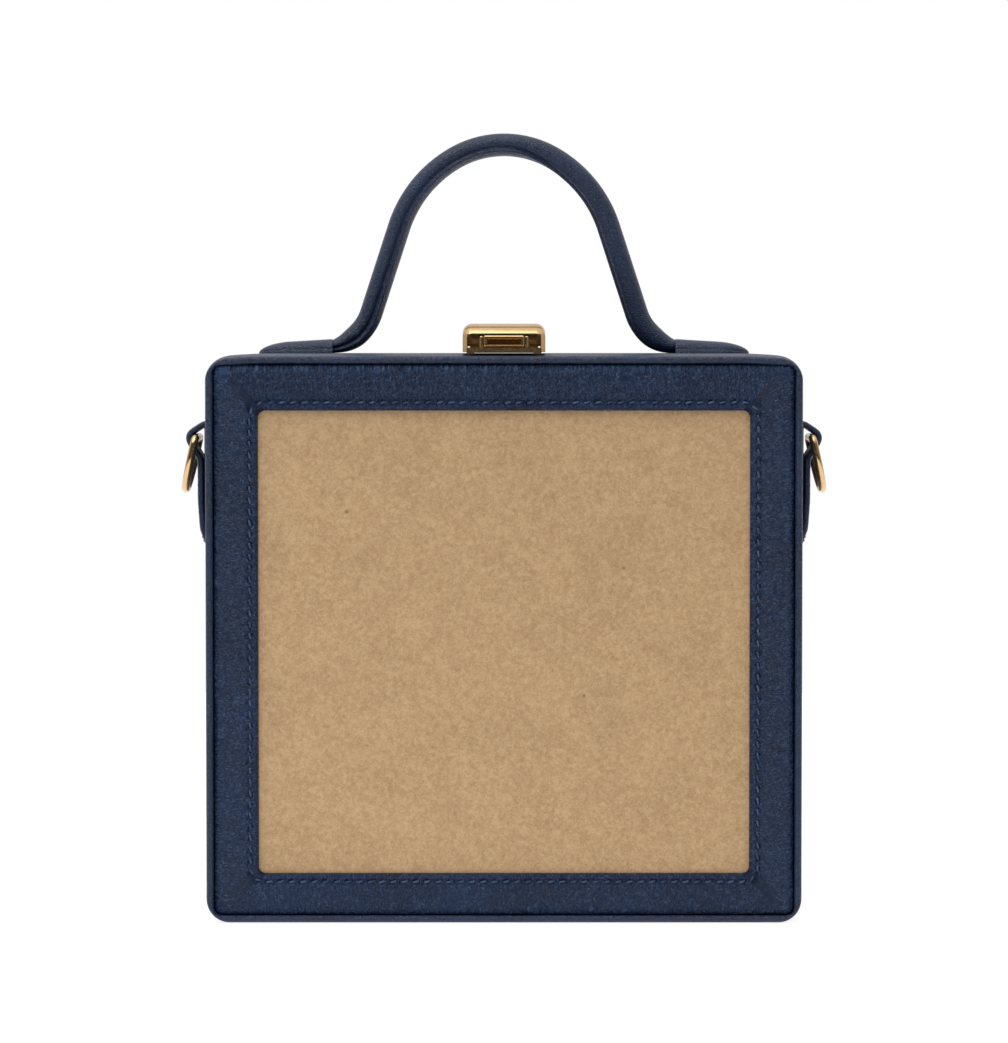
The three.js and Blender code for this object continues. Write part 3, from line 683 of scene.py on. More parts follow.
def board_material(looks):
    """Kraft board: mottled tan with pale and brown fibres and a few dark specks."""
    material, graph, shader = new_material("pressed_board")
    where = graph.add("ShaderNodeTexCoord").outputs["Object"]
    fibre = group(graph, "pressed_fibres", {"Vector": where, "Size": 520.0})
    finer = group(graph, "pressed_fibres", {"Vector": where, "Size": 1150.0})
    tone = group(graph, "tone_patches", {"Vector": where, "Size": 70.0})
    pale = rgba(looks.board_light)
    dark = rgba(looks.board_dark)
    base = graph.mix(graph.fade(tone["Tone"], 0.3, 0.7, 0.0, 0.22), rgba(looks.board), dark)
    base = graph.mix(graph.fade(graph.parts(where)[0], -80 * MM, 80 * MM, 0.0, 0.14), base, dark)
    for fibres, pale_share, dark_share in ((fibre, 0.42, 0.37), (finer, 0.34, 0.37)):
        base = graph.mix(graph.times(fibres["Pale"], pale_share), base, pale)
        base = graph.mix(graph.times(fibres["Dark"], dark_share), base, dark)
    speck = graph.add("ShaderNodeTexVoronoi", {"Vector": where, "Scale": 95.0}).outputs[0]
    rare = graph.fade(graph.noise(where, 60.0, 1.0), 0.6, 0.66)
    speck = graph.times(graph.fade(speck, 0.075, 0.03), rare)
    base = graph.mix(graph.times(speck, 0.55), base, (0.12, 0.07, 0.035, 1.0))
    rough = graph.fade(tone["Fine"], 0.2, 0.8, 0.78, 0.95)
    normal = graph.bump(graph.math("ADD", fibre["Height"], finer["Height"]), 0.0001, 0.55)
    shine = {"Roughness": rough, "Specular IOR Level": 0.25}
    graph.fill(shader, {"Base Color": base, "Normal": normal, **shine})
    return material


def gold_material(looks):
    """Polished pale gold with faint wipe marks, and painted shade in a deeper gold in its creases and in the
    recess round the press tab.
    """
    found = bpy.data.materials.get("polished_gold")
    if found:
        return found
    material, graph, shader = new_material("polished_gold")
    where = graph.add("ShaderNodeTexCoord").outputs["Object"]
    tone = group(graph, "tone_patches", {"Vector": where, "Size": 110.0})
    wiped = graph.noise(graph.stretched(where, (1.0, 0.15, 1.0)), 2400.0, 3.0, 0.6)
    # Painted shade: the creases are darkened towards the deep gold.
    hollow_shade = graph.fade(graph.add("ShaderNodeNewGeometry").outputs["Pointiness"], 0.5, 0.44)
    deep = rgba(looks.gold_deep_and_recess_shade)
    base = graph.mix(graph.fade(tone["Tone"], 0.35, 0.7, 0.0, 0.08), rgba(looks.gold), deep)
    base = graph.mix(graph.times(hollow_shade, 0.6), base, deep)
    # Painted shade: the recess round the press tab, boxed in by the masks below, is darkened to the deep
    # gold.
    parts = graph.parts(where)
    under = graph.fade(parts[2], BODY_HIGH[2] + 6.1 * MM, BODY_HIGH[2] + 5.7 * MM)
    over = graph.fade(parts[2], BODY_HIGH[2] + 1.9 * MM, BODY_HIGH[2] + 2.2 * MM)
    ahead = graph.fade(parts[1], BODY_LOW[1] + 8 * MM, BODY_LOW[1] + 6 * MM)
    between = graph.fade(graph.math("ABSOLUTE", parts[0]), 11.3 * MM, 10.9 * MM)
    behind = graph.fade(parts[1], BODY_LOW[1] + 3.3 * MM, BODY_LOW[1] + 3.9 * MM)
    inside = graph.times(graph.times(under, between), graph.times(behind, ahead))
    base = graph.mix(graph.times(inside, over), base, deep)
    rough = graph.math("MULTIPLY_ADD", wiped, 0.1, graph.fade(tone["Fine"], 0.3, 0.7, 0.1, 0.17))
    normal = graph.bump(wiped, 0.00001, 0.4)
    graph.fill(shader, {"Base Color": base, "Roughness": rough, "Normal": normal, "Metallic": 1.0})
    return material


# Shapes of the bag

HINGE_TOP = 2.4 * MM  # up to this height the walls keep clear of the hinge
STRAP_FACE = 4.7 * MM  # from the body's side to the front of the strap
OUTWARD = {"left": -1, "right": 1}
ABOVE_TOP = 0.05 * MM  # by how much the handle and the tabs miss or meet the bag's top


def crown_at(y, walls):
    """Swell of the wall at a depth: the crown times one minus the depth's share to a high power."""
    depth = (BODY_HIGH[1] - BODY_LOW[1]) / 2 - walls.lip
    return walls.crown * (1 - np.minimum(np.abs(y) / depth, 1) ** walls.crown_power)


def wall_shell(walls, length_y, ledge_at, y_of):
    """One wall: its section carried round the rounded square.

    The section is measured by how far it lies in from the body's side and how far it is from the split. It
    runs along the outside, round the lip, and back by the inner ledge. Outside, the crown is added along the
    outward direction, and fades out under the bottom corners, and the top drops a little towards its corners.
    At the bottom the split edge is set back to make room for the hinge.
    """
    split = walls.split_roll
    lip = walls.lip
    wall = walls.wall
    roll = arc((split, split), split, 270, 180, 6)[:-1]
    outside = np.column_stack([np.zeros(29), np.linspace(split, length_y - lip, 29)])
    bead = arc((lip, length_y - lip), lip, 180, 0, 18)[1:]
    inner = wall + walls.ledge
    ledge_back = ledge_at - walls.ledge_depth
    corners = ((wall, ledge_at), (inner, ledge_at), (inner, ledge_back), (wall, ledge_back))
    rest = [*corners, (wall, length_y * 0.3)]
    edge = arc((wall - split / 2, split / 2), split / 2, 0, -90, 4)
    profile = np.vstack([roll, outside, bead, rest, edge])
    raised = np.arange(len(profile)) < len(roll) + len(outside)
    inset, along = profile.T
    radius = np.interp(inset, [0, wall], [walls.outer_corner, walls.inner_corner])
    half = BODY_HIGH[0] - walls.crown
    top = BODY_HIGH[2] - walls.crown
    plain = square_loop(half - inset, inset, top - inset, radius)
    centres = np.full_like(radius, 1e-9)
    middle = square_loop(half - inset - radius, inset + radius, top - inset - radius, centres)
    outward = plain - middle
    outward /= np.linalg.norm(outward, axis=-1, keepdims=True)
    fade = 1 - smoothstep(-outward[..., 1], 0, 1)
    swell = np.where(raised, crown_at(y_of(along), walls), 0)[None] * fade
    upward = np.clip(outward[..., 1], 0, 1)
    swell -= walls.fall * smoothstep(np.abs(plain[..., 0]), 0.8 * half, 0.96 * half) * upward
    puffed = plain + outward * swell[..., None]
    height = puffed[..., 1].min(axis=1, keepdims=True)
    room = walls.hinge_room * (1 - smoothstep(height, HINGE_TOP, HINGE_TOP + walls.hinge_height))
    shifted = along[None] + room * (1 - smoothstep(along[None], 0, length_y / 2))
    return np.stack([puffed[..., 0], y_of(shifted), puffed[..., 1]], axis=-1)


def border_height(d, width, panels, stitches):
    """Height of the padded border over its back, at a distance d in from its outer edge.

    Two quarter ellipses roll the edges over, a parabola gives the padding, and a bell pulls in the row of
    stitches.
    """
    outer = np.sqrt(1 - (1 - np.clip(d / panels.outer_roll, 0, 1)) ** 2)
    inner = np.sqrt(1 - (1 - np.clip((width - d) / panels.inner_roll, 0, 1)) ** 2)
    padding = panels.crown * (1 - (2 * d / width - 1) ** 2)
    channel = stitches.channel * bell(width - d, stitches.inset, stitches.channel_width)
    return outer * inner * (panels.edge + padding - channel)


def window(panels, grow=0.0):
    """The window's half width, bottom and top, grown by a margin."""
    return SIDE - panels.side + grow, panels.bottom - grow, TOP - panels.top + grow


def along_strip(flat):
    """How far each point of the border lies along its side, so that a pattern runs square to the edges.

    Sides follow one another in u. A corner runs evenly from the end of one side to the start of the next.
    """
    lines, steps, _ = flat.shape
    x, z = (flat[..., i].reshape(4, lines // 4, steps) for i in range(2))
    pitch = (flat.max(axis=(0, 1)) - flat.min(axis=(0, 1))).mean() * 0.95
    middle = (z.max() + z.min()) / 2
    local = np.stack([z[0] - middle, -x[1], middle - z[2], x[3]])
    u = local + pitch * np.arange(4)[:, None, None]
    before = np.stack([x[0], z[1] - middle, -x[2], middle - z[3]])[:, 0]
    before = before + pitch * np.arange(-1, 3)[:, None]
    turn = np.linspace(0, 1, 17)[None, :, None]
    u[:, :17] = before[:, None] * (1 - turn) + u[:, 16:17] * turn
    u = u.reshape(lines, steps)
    return np.vstack([u, u[:1] + 4 * pitch])


def border_width(panels):
    """From the border's outer edge to the window."""
    return panels.side - (SIDE - FRAME_HIGH[0]) + panels.spread


def frame_border(panels, stitches):
    """The leather border: each station runs straight from the outer loop to the window's loop, at the
    border's height. Returns the points, the uv in metres and the uv that counts stitches."""
    grow = panels.spread
    sides = (FRAME_HIGH[0] + grow, FRAME_LOW[2] - grow, FRAME_HIGH[2] + grow)
    outer = square_loop(*sides, panels.corner + grow)[:, 0]
    inner = square_loop(*window(panels), panels.corner)[:, 0]
    width = border_width(panels)
    steps = 72
    t = (1 - np.cos(np.linspace(0, math.pi, steps))) / 2
    d = t * width
    y = FRAME_HIGH[1] - border_height(d, width, panels, stitches)
    flat = outer[:, None] * (1 - t[:, None]) + inner[:, None] * t[:, None]
    front = np.stack([flat[..., 0], np.broadcast_to(y, flat.shape[:2]), flat[..., 1]], axis=-1)
    u = along_strip(flat)
    v = np.append(d, 0)
    uv = np.stack([np.hstack([u, u[:, :1]]), np.broadcast_to(v, (len(u), len(v)))], axis=-1)
    count = round(steps_of(stitch_loop(panels, stitches), True).sum() / stitches.pitch)
    near = inner + (outer - inner) * stitches.inset / width
    turns = np.concatenate([[0], np.cumsum(steps_of(near, True))])
    turns *= count / turns[-1]
    beside = np.append(width - d - stitches.inset, 1.0)
    row_uv = np.stack(np.broadcast_arrays(turns[:, None], beside[None]), axis=-1)
    return front, uv, row_uv


def stitch_loop(panels, stitches):
    """The closed line of the row of stitches round the window, in x and z."""
    half, bottom, top = window(panels, stitches.inset)
    return square_loop(half, bottom, top, panels.corner + stitches.inset, 16, 64)[:, 0]


def thread_grid(stitches, reach=None):
    """One stitch as a grid of (along, side, up): a rod with round ends that dips into the leather.

    Its radius follows a superellipse along its length, and its middle line falls as the square of the
    distance from the centre.
    """
    s = np.sin(np.linspace(-math.pi / 2, math.pi / 2, 9))
    angle = np.linspace(0, 2 * math.pi, 8, endpoint=False)
    half = (reach or stitches.reach) / 2
    radius = stitches.thread / 2 * np.sqrt(np.sqrt(np.maximum(1 - np.abs(s) ** 3, 0.004)))
    along = np.broadcast_to((half * s)[:, None], (9, 8))
    side = radius[:, None] * np.cos(angle)
    up = radius[:, None] * np.sin(angle) - (stitches.thread * 0.75 * s**2)[:, None]
    return np.stack([along, side, up], axis=-1)


def sewn_row(points, tangents, normals, stitches, reach=None):
    """Stitches at a row of points: the stitch's grid turned by the slant and set on each point's axes."""
    grid = thread_grid(stitches, reach)
    sides = np.cross(normals, tangents)
    along = math.cos(stitches.slant) * tangents + math.sin(stitches.slant) * sides
    across = np.cross(normals, along)
    axes = np.stack([along, across, normals], axis=1)
    return points[:, None, None] + np.einsum("rcl,nlk->nrck", grid, axes)


def window_stitches(panels, stitches):
    """The row of stitches round the window."""
    loop = stitch_loop(panels, stitches)
    flat = resample(loop, round(steps_of(loop, True).sum() / stitches.pitch), closed=True)
    tangent = directions(flat, closed=True)
    width = border_width(panels)
    y = FRAME_HIGH[1] - border_height(np.array(width - stitches.inset), width, panels, stitches)
    lift = stitches.thread * 0.2
    points = np.column_stack([flat[:, 0], np.full(len(flat), y - lift), flat[:, 1]])
    tangents = np.column_stack([tangent[:, 0], np.zeros(len(flat)), tangent[:, 1]])
    normals = np.broadcast_to([0.0, -1.0, 0.0], points.shape)
    return sewn_row(points, tangents, normals, stitches)


def padded_back(panels):
    """The back panel: square loops that shrink towards the middle, with a rolled edge and a slow crown."""
    corner = panels.corner
    shrink = np.sin(np.linspace(0, math.pi / 2, 40)) ** 3
    depth = 0.96 * BACK_HIGH[0] * shrink
    height_share = BACK_HIGH[2] / BACK_HIGH[0] / 2
    half = BACK_HIGH[0] - depth
    middle = (BACK_HIGH[2] + BACK_LOW[2]) / 2
    tall = (BACK_HIGH[2] - BACK_LOW[2]) / 2 - depth * height_share
    radius = np.maximum(np.minimum(corner, half), np.minimum(half, tall) * 0.9 * (shrink > 0.5))
    radius = np.minimum(radius, np.minimum(half, tall) * 0.98)
    loops = square_loop(half, middle - tall, middle + tall, radius)
    roll = np.sqrt(1 - (1 - np.clip(depth / panels.outer_roll, 0, 1)) ** 2)
    crown = panels.back_crown * (1 - (1 - np.clip(depth / (0.4 * BACK_HIGH[0]), 0, 1)) ** 2)
    y = BACK_LOW[1] + roll * (BACK_HIGH[1] - BACK_LOW[1] - panels.back_crown + crown)
    outside = np.stack([loops[..., 0], np.broadcast_to(y, loops.shape[:2]), loops[..., 1]], axis=-1)
    return outside.transpose(1, 0, 2)


def handle_line(handle):
    """The handle's middle line in x and z, from the left foot to the right one.

    A tight arc at the top runs into an easier one at each shoulder, then a straight limb and an arc at the
    foot that turns level.
    """
    slope = handle.limb_angle
    apex = GRIP_HIGH[2] - handle.thickness / 2
    start = 90 - math.degrees(handle.top_angle)
    crown = arc((0.0, apex - handle.top_radius), handle.top_radius, 90, start, 40)
    ease = handle.shoulder_radius - handle.top_radius
    away = ease * np.array([math.sin(handle.top_angle), math.cos(handle.top_angle)])
    centre = np.array([0.0, apex - handle.top_radius]) - away
    shoulder = arc(centre, handle.shoulder_radius, start, math.degrees(slope), 40)[1:]
    top = np.vstack([crown, shoulder])
    end = BODY_HIGH[2] + handle.foot_thickness / 2 + 0.1 * MM
    drop = handle.foot_radius * (1 - math.sin(slope))
    run = (top[-1, 1] - end - drop) / math.cos(slope)
    start = top[-1] + run * np.array([math.sin(slope), -math.cos(slope)])
    foot_centre = start + handle.foot_radius * np.array([math.cos(slope), math.sin(slope)])
    foot = arc(foot_centre, handle.foot_radius, 180 + math.degrees(slope), 270, 40)
    tongue = np.array([[foot_centre[0] + 5 * MM, end]])
    right = np.vstack([top, foot, tongue])
    left = right[:0:-1] * [-1, 1]
    return resample(np.vstack([left, right]), 320), foot_centre[0]


def rolled_handle(handle):
    """The handle: a squared-off ellipse carried along its line.

    The section flattens towards the feet, which press on the top of the bag. The seam is a bell-shaped groove
    with a small ridge beside it. It runs along the front of the left limb and turns in under the handle past
    the top.
    """
    line, foot = handle_line(handle)
    tangent = directions(line)
    flat = smoothstep(np.abs(line[:, 0]), foot - handle.taper, foot)[:, None]
    thick = (handle.thickness * (1 - flat) + handle.foot_thickness * flat) / 2
    broad = ((GRIP_HIGH[1] - GRIP_LOW[1]) * (1 - flat) + handle.foot_width * flat) / 2
    angle = np.linspace(0, 2 * math.pi, 96, endpoint=False)[None]
    seam = math.pi + 0.2 + 0.85 * smoothstep(line[:, :1], 0.0, 24 * MM)
    size = thick / (handle.thickness / 2)
    width = handle.seam_width / (handle.thickness / 2)
    groove = handle.seam_depth * bell(angle, seam, width)
    ridge = 0.5 * handle.seam_depth * bell(angle, seam + 2.1 * width, width)
    shrink = 1 + (ridge - groove) * size / np.maximum(thick, 1e-4)
    across = broad * full(np.cos(angle), handle.fullness) * shrink
    up = thick * full(np.sin(angle), handle.fullness) * shrink
    points = np.column_stack([line[:, 0], np.zeros(len(line)), line[:, 1]])
    outward = np.column_stack([-tangent[:, 1], np.zeros(len(line)), tangent[:, 0]])
    outward *= np.sign(outward[:, 2].sum())
    across_axis = np.broadcast_to([0.0, 1.0, 0.0], points.shape)
    grid = sweep(points, across_axis, outward, np.stack([across, up], axis=-1))
    grid[..., 2] = np.maximum(grid[..., 2], BODY_HIGH[2] + ABOVE_TOP)
    return grid


def wedge_tab(handle, node, side):
    """A domed tab: half a squared-off ellipse at each station, its height falling to a round tip.

    The sides step out a little near the base, as a sewn edge does.
    """
    low, high = span(node)
    near, far = (low[0], high[0]) if side > 0 else (high[0], low[0])
    s = np.sin(np.linspace(0, math.pi / 2, 64))
    ends = 1 - np.clip((s - handle.tab_tip) / (1 - handle.tab_tip), 0, 1) ** 2
    ends = np.sqrt(np.maximum(ends, 0.0004))
    mouth = 0.965 + 0.035 * smoothstep(s, 0, 0.03)
    height = (high[2] - BODY_HIGH[2]) * (1 - handle.tab_fall * s) * ends * mouth
    width = (high[1] - low[1]) / 2 * ends * (0.96 + 0.04 * smoothstep(s, 0, 0.3))
    angle = np.linspace(0, math.pi, 56)
    rise = np.abs(full(np.sin(angle), handle.tab_fullness))
    step = handle.welt * (1 - smoothstep(rise, 0.2, 0.3))
    out = full(np.cos(angle), handle.tab_fullness)
    y = width[:, None] * out + step * np.sign(out) * ends[:, None] - handle.welt * out * ends[:, None]
    z = BODY_HIGH[2] - ABOVE_TOP + height[:, None] * rise
    x = np.broadcast_to((near + (far - near) * s)[:, None], z.shape)
    return np.stack([x, y, z], axis=-1)


def strap_line(straps, side):
    """The strap's middle line in x and z, for the right side, and the share of the way along it.

    It goes up the wall past the bar, slopes out, turns round the bar in an arc and comes down in front to the
    lower end.
    """
    low, high = span(f"side_strap_{side}")
    wall = BODY_HIGH[0] + straps.leather / 2
    bar = np.array([SIDE + straps.bar_out, straps.bar_height])
    radius = straps.wire + straps.run + straps.leather / 2
    face = SIDE + STRAP_FACE
    layer = face - straps.doubled / 2
    start = low[2] + 0.6 * MM
    below = bar[1] - 12 * MM
    bend = bar[1] + straps.rise - straps.leather / 2
    up = [(wall, start), (wall, below), (wall, bend - 1 * MM), (wall + 0.6 * MM, bend)]
    over = arc(bar, radius, 65, -35, 16)
    down = [(face - straps.leather / 2, bar[1] - 6.5 * MM), (layer, below), (layer, low[2] + 14.6 * MM)]
    down += [(layer - 0.6 * MM, low[2] + 5.8 * MM), (layer - 1.3 * MM, low[2] + 2.6 * MM)]
    down += [(wall + 0.5 * MM, start)]
    line = resample(np.vstack([up, over, down]), 220)
    kernel = np.hanning(13)
    kernel /= kernel.sum()
    padded = np.pad(line, ((6, 6), (0, 0)), mode="reflect", reflect_type="odd")
    smooth = np.column_stack([np.convolve(padded[:, i], kernel, mode="valid") for i in range(2)])
    return smooth, low, high


def strap_band(straps, side):
    """The strap: a thin rounded rectangle carried along its line.

    Near both ends its width follows a circle, and the layer in front is thicker under the ring.
    """
    line, low, high = strap_line(straps, side)
    tangent = directions(line)
    half = (high[1] - low[1]) / 2
    below = np.clip((low[2] + half - line[:, 1]) / half, 0, 0.995)
    width = half * np.sqrt(1 - below**2)
    s = np.linspace(0, 1, len(line))
    doubled = smoothstep(s, 0.56, 0.68)
    end = 1 - 0.6 * smoothstep(below, 0.2, 1.0)
    thick = (straps.leather * (1 - doubled) + straps.doubled * doubled) / 2 * end
    angle = np.linspace(0, 2 * math.pi, 48, endpoint=False)
    across = width[:, None] * full(np.cos(angle), 0.3)
    up = thick[:, None] * full(np.sin(angle), 0.45)
    flip = OUTWARD[side]
    points = np.column_stack([flip * line[:, 0], np.zeros(len(line)), line[:, 1]])
    normal = np.column_stack([-flip * tangent[:, 1], np.zeros(len(line)), tangent[:, 0]])
    axis = np.broadcast_to([0.0, 1.0, 0.0], points.shape)
    return sweep(points, axis, normal, np.stack([across, up], axis=-1))


def strap_stitches(straps, stitches, side):
    """A U of stitches on the strap's front layer, set on its outer face."""
    line, low, high = strap_line(straps, side)
    half = (high[1] - low[1]) / 2 - straps.edge
    top = straps.bar_height - 9 * MM
    centre = low[2] + half + straps.edge
    flat = np.vstack([[[-half, top]], arc((0, centre), half, 180, 360, 24), [[half, top]]])
    flat = resample(flat, round(steps_of(flat).sum() / stitches.strap_pitch))
    front = line[len(line) * 6 // 10 :]
    order = np.argsort(front[:, 1])
    x = np.interp(flat[:, 1], front[order, 1], front[order, 0]) + straps.doubled / 2 - straps.sunk
    flip = OUTWARD[side]
    points = np.column_stack([flip * x, flat[:, 0], flat[:, 1]])
    tangents = directions(points)
    normals = np.cross(tangents, np.cross([float(flip), 0.0, 0.0], tangents))
    normals /= np.linalg.norm(normals, axis=1, keepdims=True)
    return sewn_row(points, tangents, normals, stitches, stitches.strap_pitch * 0.72)


def d_ring(straps, side):
    """A D-ring: a circle carried round a straight bar, two small corners and a round bow, leaning out."""
    reach = straps.ring_width / 2 - straps.wire
    bow = straps.drop - reach
    corner = straps.corner
    first = arc((reach - corner, -corner), corner, 90, 0, 12)
    last = arc((-reach + corner, -corner), corner, 180, 90, 12)
    flat = np.vstack([first, arc((0, -bow), reach, 0, -180, 60), last])
    flat = resample(flat, 200, closed=True)
    flip = OUTWARD[side]
    lean = straps.lean
    bar = SIDE + straps.bar_out
    x = flip * (bar - flat[:, 1] * math.sin(lean))
    points = np.column_stack([x, flat[:, 0], straps.bar_height + flat[:, 1] * math.cos(lean)])
    tangent = directions(points, closed=True)
    normal = np.broadcast_to([flip * math.cos(lean), 0.0, math.sin(lean)], points.shape)
    angle = np.linspace(0, 2 * math.pi, 24, endpoint=False)
    section = straps.wire * np.column_stack([np.cos(angle), np.sin(angle)])
    return sweep(points, np.cross(tangent, normal), normal, section)


def polished_copy(name, node, clasp):
    """A merged copy of a CAD node with rounded edges. A node's mesh itself stays as it is."""
    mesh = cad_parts[node].data.copy()
    mesh.name = name
    shape = bmesh.new()
    shape.from_mesh(mesh)
    bmesh.ops.remove_doubles(shape, verts=shape.verts, dist=1e-6)
    bmesh.ops.dissolve_limit(shape, angle_limit=math.radians(2), verts=shape.verts, edges=shape.edges)
    shape.to_mesh(mesh)
    shape.free()
    for attribute in ("custom_normal", "sharp_face"):
        if attribute in mesh.attributes:
            mesh.attributes.remove(mesh.attributes[attribute])
    mesh.polygons.foreach_set("use_smooth", np.ones(len(mesh.polygons), dtype=bool))
    piece = bpy.data.objects.new(name, mesh)
    bpy.context.scene.collection.objects.link(piece)
    rounded = piece.modifiers.new("rounded_edges", "BEVEL")
    rounded.width = clasp.bevel
    rounded.segments = clasp.segments
    rounded.limit_method = "ANGLE"
    rounded.angle_limit = math.radians(24)
    rounded.harden_normals = True
    return piece


# Operators


class Build:
    """What the bag's operators share."""

    bl_options = {"REGISTER", "UNDO"}


class BOXBAG_OT_walls(Build, bpy.types.Operator):
    """Builds the leather walls of the case and the lid"""

    bl_idname = "boxbag.walls"
    bl_label = "Walls"

    def execute(self, context):
        bag = context.scene.box_bag
        hide = leather("wall_leather", bag.looks)
        clear = 0.3 * MM
        lid = LID_HIGH[1] - LID_LOW[1]
        ledge = lid - (BOARD_HIGH[1] + clear - LID_LOW[1])
        grid = wall_shell(bag.walls, lid, ledge, lambda along: LID_HIGH[1] - along)
        place(surface("lid_wall", grid, close_rows=True), "lid", hide, "navy_leather", "lid_gusset")
        case = CASE_HIGH[1] - CASE_LOW[1]
        ledge = case - (CASE_HIGH[1] - BACK_LOW[1] + clear)
        grid = wall_shell(bag.walls, case, ledge, lambda along: CASE_LOW[1] + along)
        place(surface("case_wall", grid, close_rows=True), "case", hide, "navy_leather", "case_gusset")
        return {"FINISHED"}


class BOXBAG_OT_panels(Build, bpy.types.Operator):
    """Builds the leather border round the window, its stitches and the back panel"""

    bl_idname = "boxbag.panels"
    bl_label = "Panels"

    def execute(self, context):
        bag = context.scene.box_bag
        front, uv, row_uv = frame_border(bag.panels, bag.stitches)
        border = surface("window_border", front, close_rows=True, uvs={"UVMap": uv, "Row": row_uv})
        hide = leather("border_leather", bag.looks, bump=0.0003, shine=0.3, border=True)
        place(border, "lid", hide, "navy_leather", "front_frame")
        sewn = surface("window_stitches", window_stitches(bag.panels, bag.stitches))
        place(sewn, "lid", thread_material(bag.looks), "navy_leather")
        back = surface("back_leather", padded_back(bag.panels))
        place(back, "case", leather("wall_leather", bag.looks), "navy_leather", "back_panel")
        return {"FINISHED"}


def paint(node, material):
    """Gives a CAD node that is shown as it is its material."""
    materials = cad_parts[node].data.materials
    materials.clear()
    materials.append(material)


class BOXBAG_OT_board(Build, bpy.types.Operator):
    """Gives the board behind the window its fibres"""

    bl_idname = "boxbag.board"
    bl_label = "Board"

    def execute(self, context):
        paint("board_panel", board_material(context.scene.box_bag.looks))
        return {"FINISHED"}


class BOXBAG_OT_handle(Build, bpy.types.Operator):
    """Builds the rolled handle and its two tabs"""

    bl_idname = "boxbag.handle"
    bl_label = "Handle"

    def execute(self, context):
        bag = context.scene.box_bag
        hide = handle_leather(bag.looks)
        grip = surface("rolled_handle", rolled_handle(bag.handle))
        place(grip, "case", hide, "navy_leather", "handle_grip")
        for side, flip in OUTWARD.items():
            node = f"handle_tab_{side}"
            tab = surface(f"wedge_tab_{side}", wedge_tab(bag.handle, node, flip))
            place(tab, "case", hide, "navy_leather", node)
        return {"FINISHED"}


class BOXBAG_OT_straps(Build, bpy.types.Operator):
    """Builds the side straps with their stitches and the D-rings"""

    bl_idname = "boxbag.straps"
    bl_label = "Straps and rings"

    def execute(self, context):
        bag = context.scene.box_bag
        hide = handle_leather(bag.looks)
        gold = gold_material(bag.looks)
        for side in OUTWARD:
            band = surface(f"strap_{side}", strap_band(bag.straps, side))
            place(band, "case", hide, "navy_leather", f"side_strap_{side}")
            sewn = surface(f"strap_stitches_{side}", strap_stitches(bag.straps, bag.stitches, side))
            place(sewn, "case", thread_material(bag.looks), "navy_leather")
            ring = surface(f"ring_{side}", d_ring(bag.straps, side), close_rows=True)
            place(ring, f"ring_{side}", gold, "gold_metal", f"d_ring_{side}")
        return {"FINISHED"}


class BOXBAG_OT_clasp(Build, bpy.types.Operator):
    """Polishes the clasp and the hidden hinge"""

    bl_idname = "boxbag.clasp"
    bl_label = "Clasp"

    def execute(self, context):
        bag = context.scene.box_bag
        gold = gold_material(bag.looks)
        bodies = {"clasp_base": "lid", "clasp_button": "button", "clasp_cap": "cap", "clasp_block": "case"}
        for node, body in bodies.items():
            place(polished_copy(f"polished_{node}", node, bag.clasp), body, gold, "gold_metal", node)
        for node in ("case_hinge_leaf", "lid_hinge_leaf", "hinge_pin"):
            paint(node, gold)
        return {"FINISHED"}


def studio_world(studio):
    """White behind the object. Round it, a studio that is bright at the back and above, dim at the front."""
    world = bpy.data.worlds.new("studio")
    bpy.context.scene.world = world
    world.use_nodes = True
    world.node_tree.nodes.clear()
    graph = Graph(world.node_tree)
    way = graph.add("ShaderNodeTexCoord").outputs["Generated"]
    parts = graph.parts(way)
    around = graph.fade(parts[1], -0.5, 0.45, studio.room, studio.back)
    strength = graph.fade(parts[2], 0.25, 0.85)
    strength = graph.add("ShaderNodeMix", {0: strength, 2: around, 3: studio.sky}).outputs[0]
    strength = graph.math("ADD", strength, graph.fade(parts[2], -0.1, -0.5, 0.0, studio.ground))
    soft = graph.add("ShaderNodeBackground", {"Color": (1.0, 0.985, 0.965, 1.0), "Strength": strength})
    white = graph.add("ShaderNodeBackground", {"Color": (1.0, 1.0, 1.0, 1.0), "Strength": 1.0})
    seen = graph.add("ShaderNodeLightPath").outputs["Is Camera Ray"]
    both = graph.add("ShaderNodeMixShader", {0: seen, 1: soft.outputs[0], 2: white.outputs[0]})
    graph.add("ShaderNodeOutputWorld", {0: both.outputs[0]})


# Each light's place and the side of its square. All point at one place in the bag.
LIGHTS = {
    "key": ((-0.75, -0.7, 1.4), 1.4),
    "fill": ((1.3, -1.3, 0.8), 1.0),
    "top": ((-0.15, -0.5, 1.7), 1.5),
}
AIM = (0.0, 0.0, 0.1)
FLOOR_REACH = 0.8
FLOOR_LEVEL = -0.0003
SENSOR_WIDTH = 36.0


def area_light(name, place_at, size, power):
    """A square light at a place, turned to the bag."""
    data = bpy.data.lights.new(name, "AREA")
    data.size = size
    data.energy = power
    light = bpy.data.objects.new(name, data)
    bpy.context.scene.collection.objects.link(light)
    light.location = place_at
    way = np.array(AIM) - np.array(place_at)
    tilt = math.atan2(math.hypot(way[0], way[1]), -way[2])
    light.rotation_euler = (tilt, 0, math.atan2(-way[0], way[1]))


def floor_material():
    """Pale paper floor with a very faint tooth."""
    material, graph, shader = new_material("studio_floor")
    where = graph.add("ShaderNodeTexCoord").outputs["Object"]
    tooth = graph.noise(where, 900.0, 2.0)
    base = graph.mix(tooth, (0.3, 0.3, 0.3, 1.0), (0.32, 0.32, 0.32, 1.0))
    graph.fill(shader, {"Base Color": base, "Roughness": 0.9, "Specular IOR Level": 0.0})
    graph.fill(shader, {"Emission Color": (1.0, 1.0, 1.0, 1.0), "Emission Strength": 0.86})
    return material


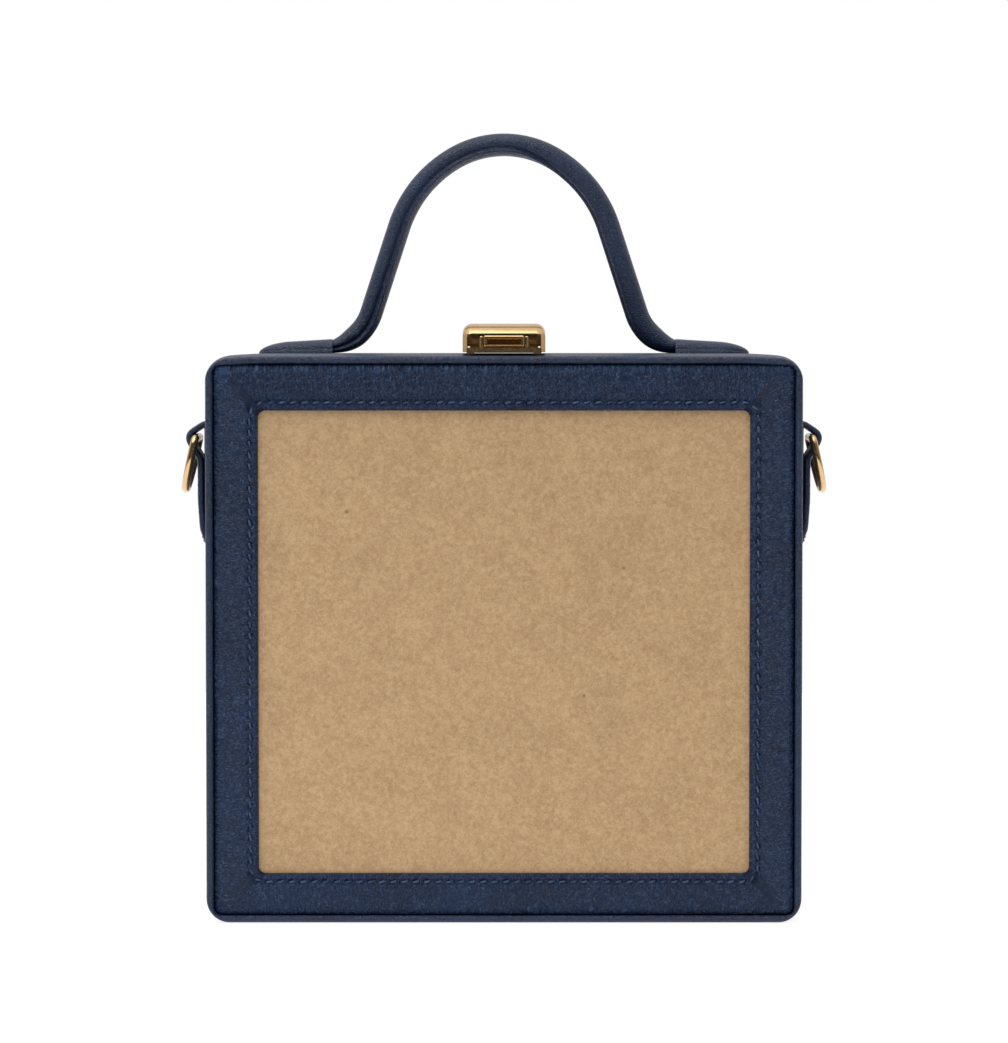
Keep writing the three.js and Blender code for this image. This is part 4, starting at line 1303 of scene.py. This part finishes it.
class BOXBAG_OT_stage(Build, bpy.types.Operator):
    """Sets up the pale floor, the soft lights and the camera"""

    bl_idname = "boxbag.stage"
    bl_label = "Stage"

    def execute(self, context):
        studio = context.scene.box_bag.studio
        mesh = bpy.data.meshes.new("floor")
        signs = ((-1, -1), (1, -1), (1, 1), (-1, 1))
        corners = [(x * FLOOR_REACH, y * FLOOR_REACH, FLOOR_LEVEL) for x, y in signs]
        mesh.from_pydata(corners, [], [(0, 1, 2, 3)])
        floor = bpy.data.objects.new("floor", mesh)
        context.scene.collection.objects.link(floor)
        mesh.materials.append(floor_material())
        studio_world(studio)
        for name, (place_at, size) in LIGHTS.items():
            area_light(f"{name}_light", place_at, size, getattr(studio, name))
        data = bpy.data.cameras.new("camera")
        data.lens = studio.lens
        data.sensor_width = SENSOR_WIDTH
        camera = bpy.data.objects.new("camera", data)
        context.scene.collection.objects.link(camera)
        camera.location = (0.0, BODY_LOW[1] - studio.distance, studio.height)
        camera.rotation_euler = (math.pi / 2 - studio.pitch, 0.0, 0.0)
        context.scene.camera = camera
        context.scene.view_settings.view_transform = "Standard"
        return {"FINISHED"}


class BOXBAG_PT_build(bpy.types.Panel):
    """The bag's steps in the sidebar"""

    bl_idname = "BOXBAG_PT_build"
    bl_label = "Box bag"
    bl_space_type = "VIEW_3D"
    bl_region_type = "UI"
    bl_category = "Box bag"

    def draw(self, context):
        for step in STEPS:
            self.layout.operator(step.bl_idname)


STEPS = (
    BOXBAG_OT_walls,
    BOXBAG_OT_panels,
    BOXBAG_OT_board,
    BOXBAG_OT_handle,
    BOXBAG_OT_straps,
    BOXBAG_OT_clasp,
    BOXBAG_OT_stage,
)
SETTINGS = (
    WallSizes,
    PanelSizes,
    StitchSizes,
    HandleSizes,
    StrapSizes,
    ClaspSizes,
    Looks,
    StudioSizes,
    BagSettings,
)
CLASSES = (*SETTINGS, *STEPS, BOXBAG_PT_build)


def register():
    for cls in CLASSES:
        bpy.utils.register_class(cls)
    bpy.types.Scene.box_bag = PointerProperty(type=BagSettings)


def unregister():
    del bpy.types.Scene.box_bag
    for cls in reversed(CLASSES):
        bpy.utils.unregister_class(cls)


def main():
    """Builds the bag step by step."""
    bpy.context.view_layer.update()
    register()
    bpy.ops.boxbag.walls()
    bpy.ops.boxbag.panels()
    bpy.ops.boxbag.board()
    bpy.ops.boxbag.handle()
    bpy.ops.boxbag.straps()
    bpy.ops.boxbag.clasp()
    bpy.ops.boxbag.stage()


if __name__ == "__main__":
    main()
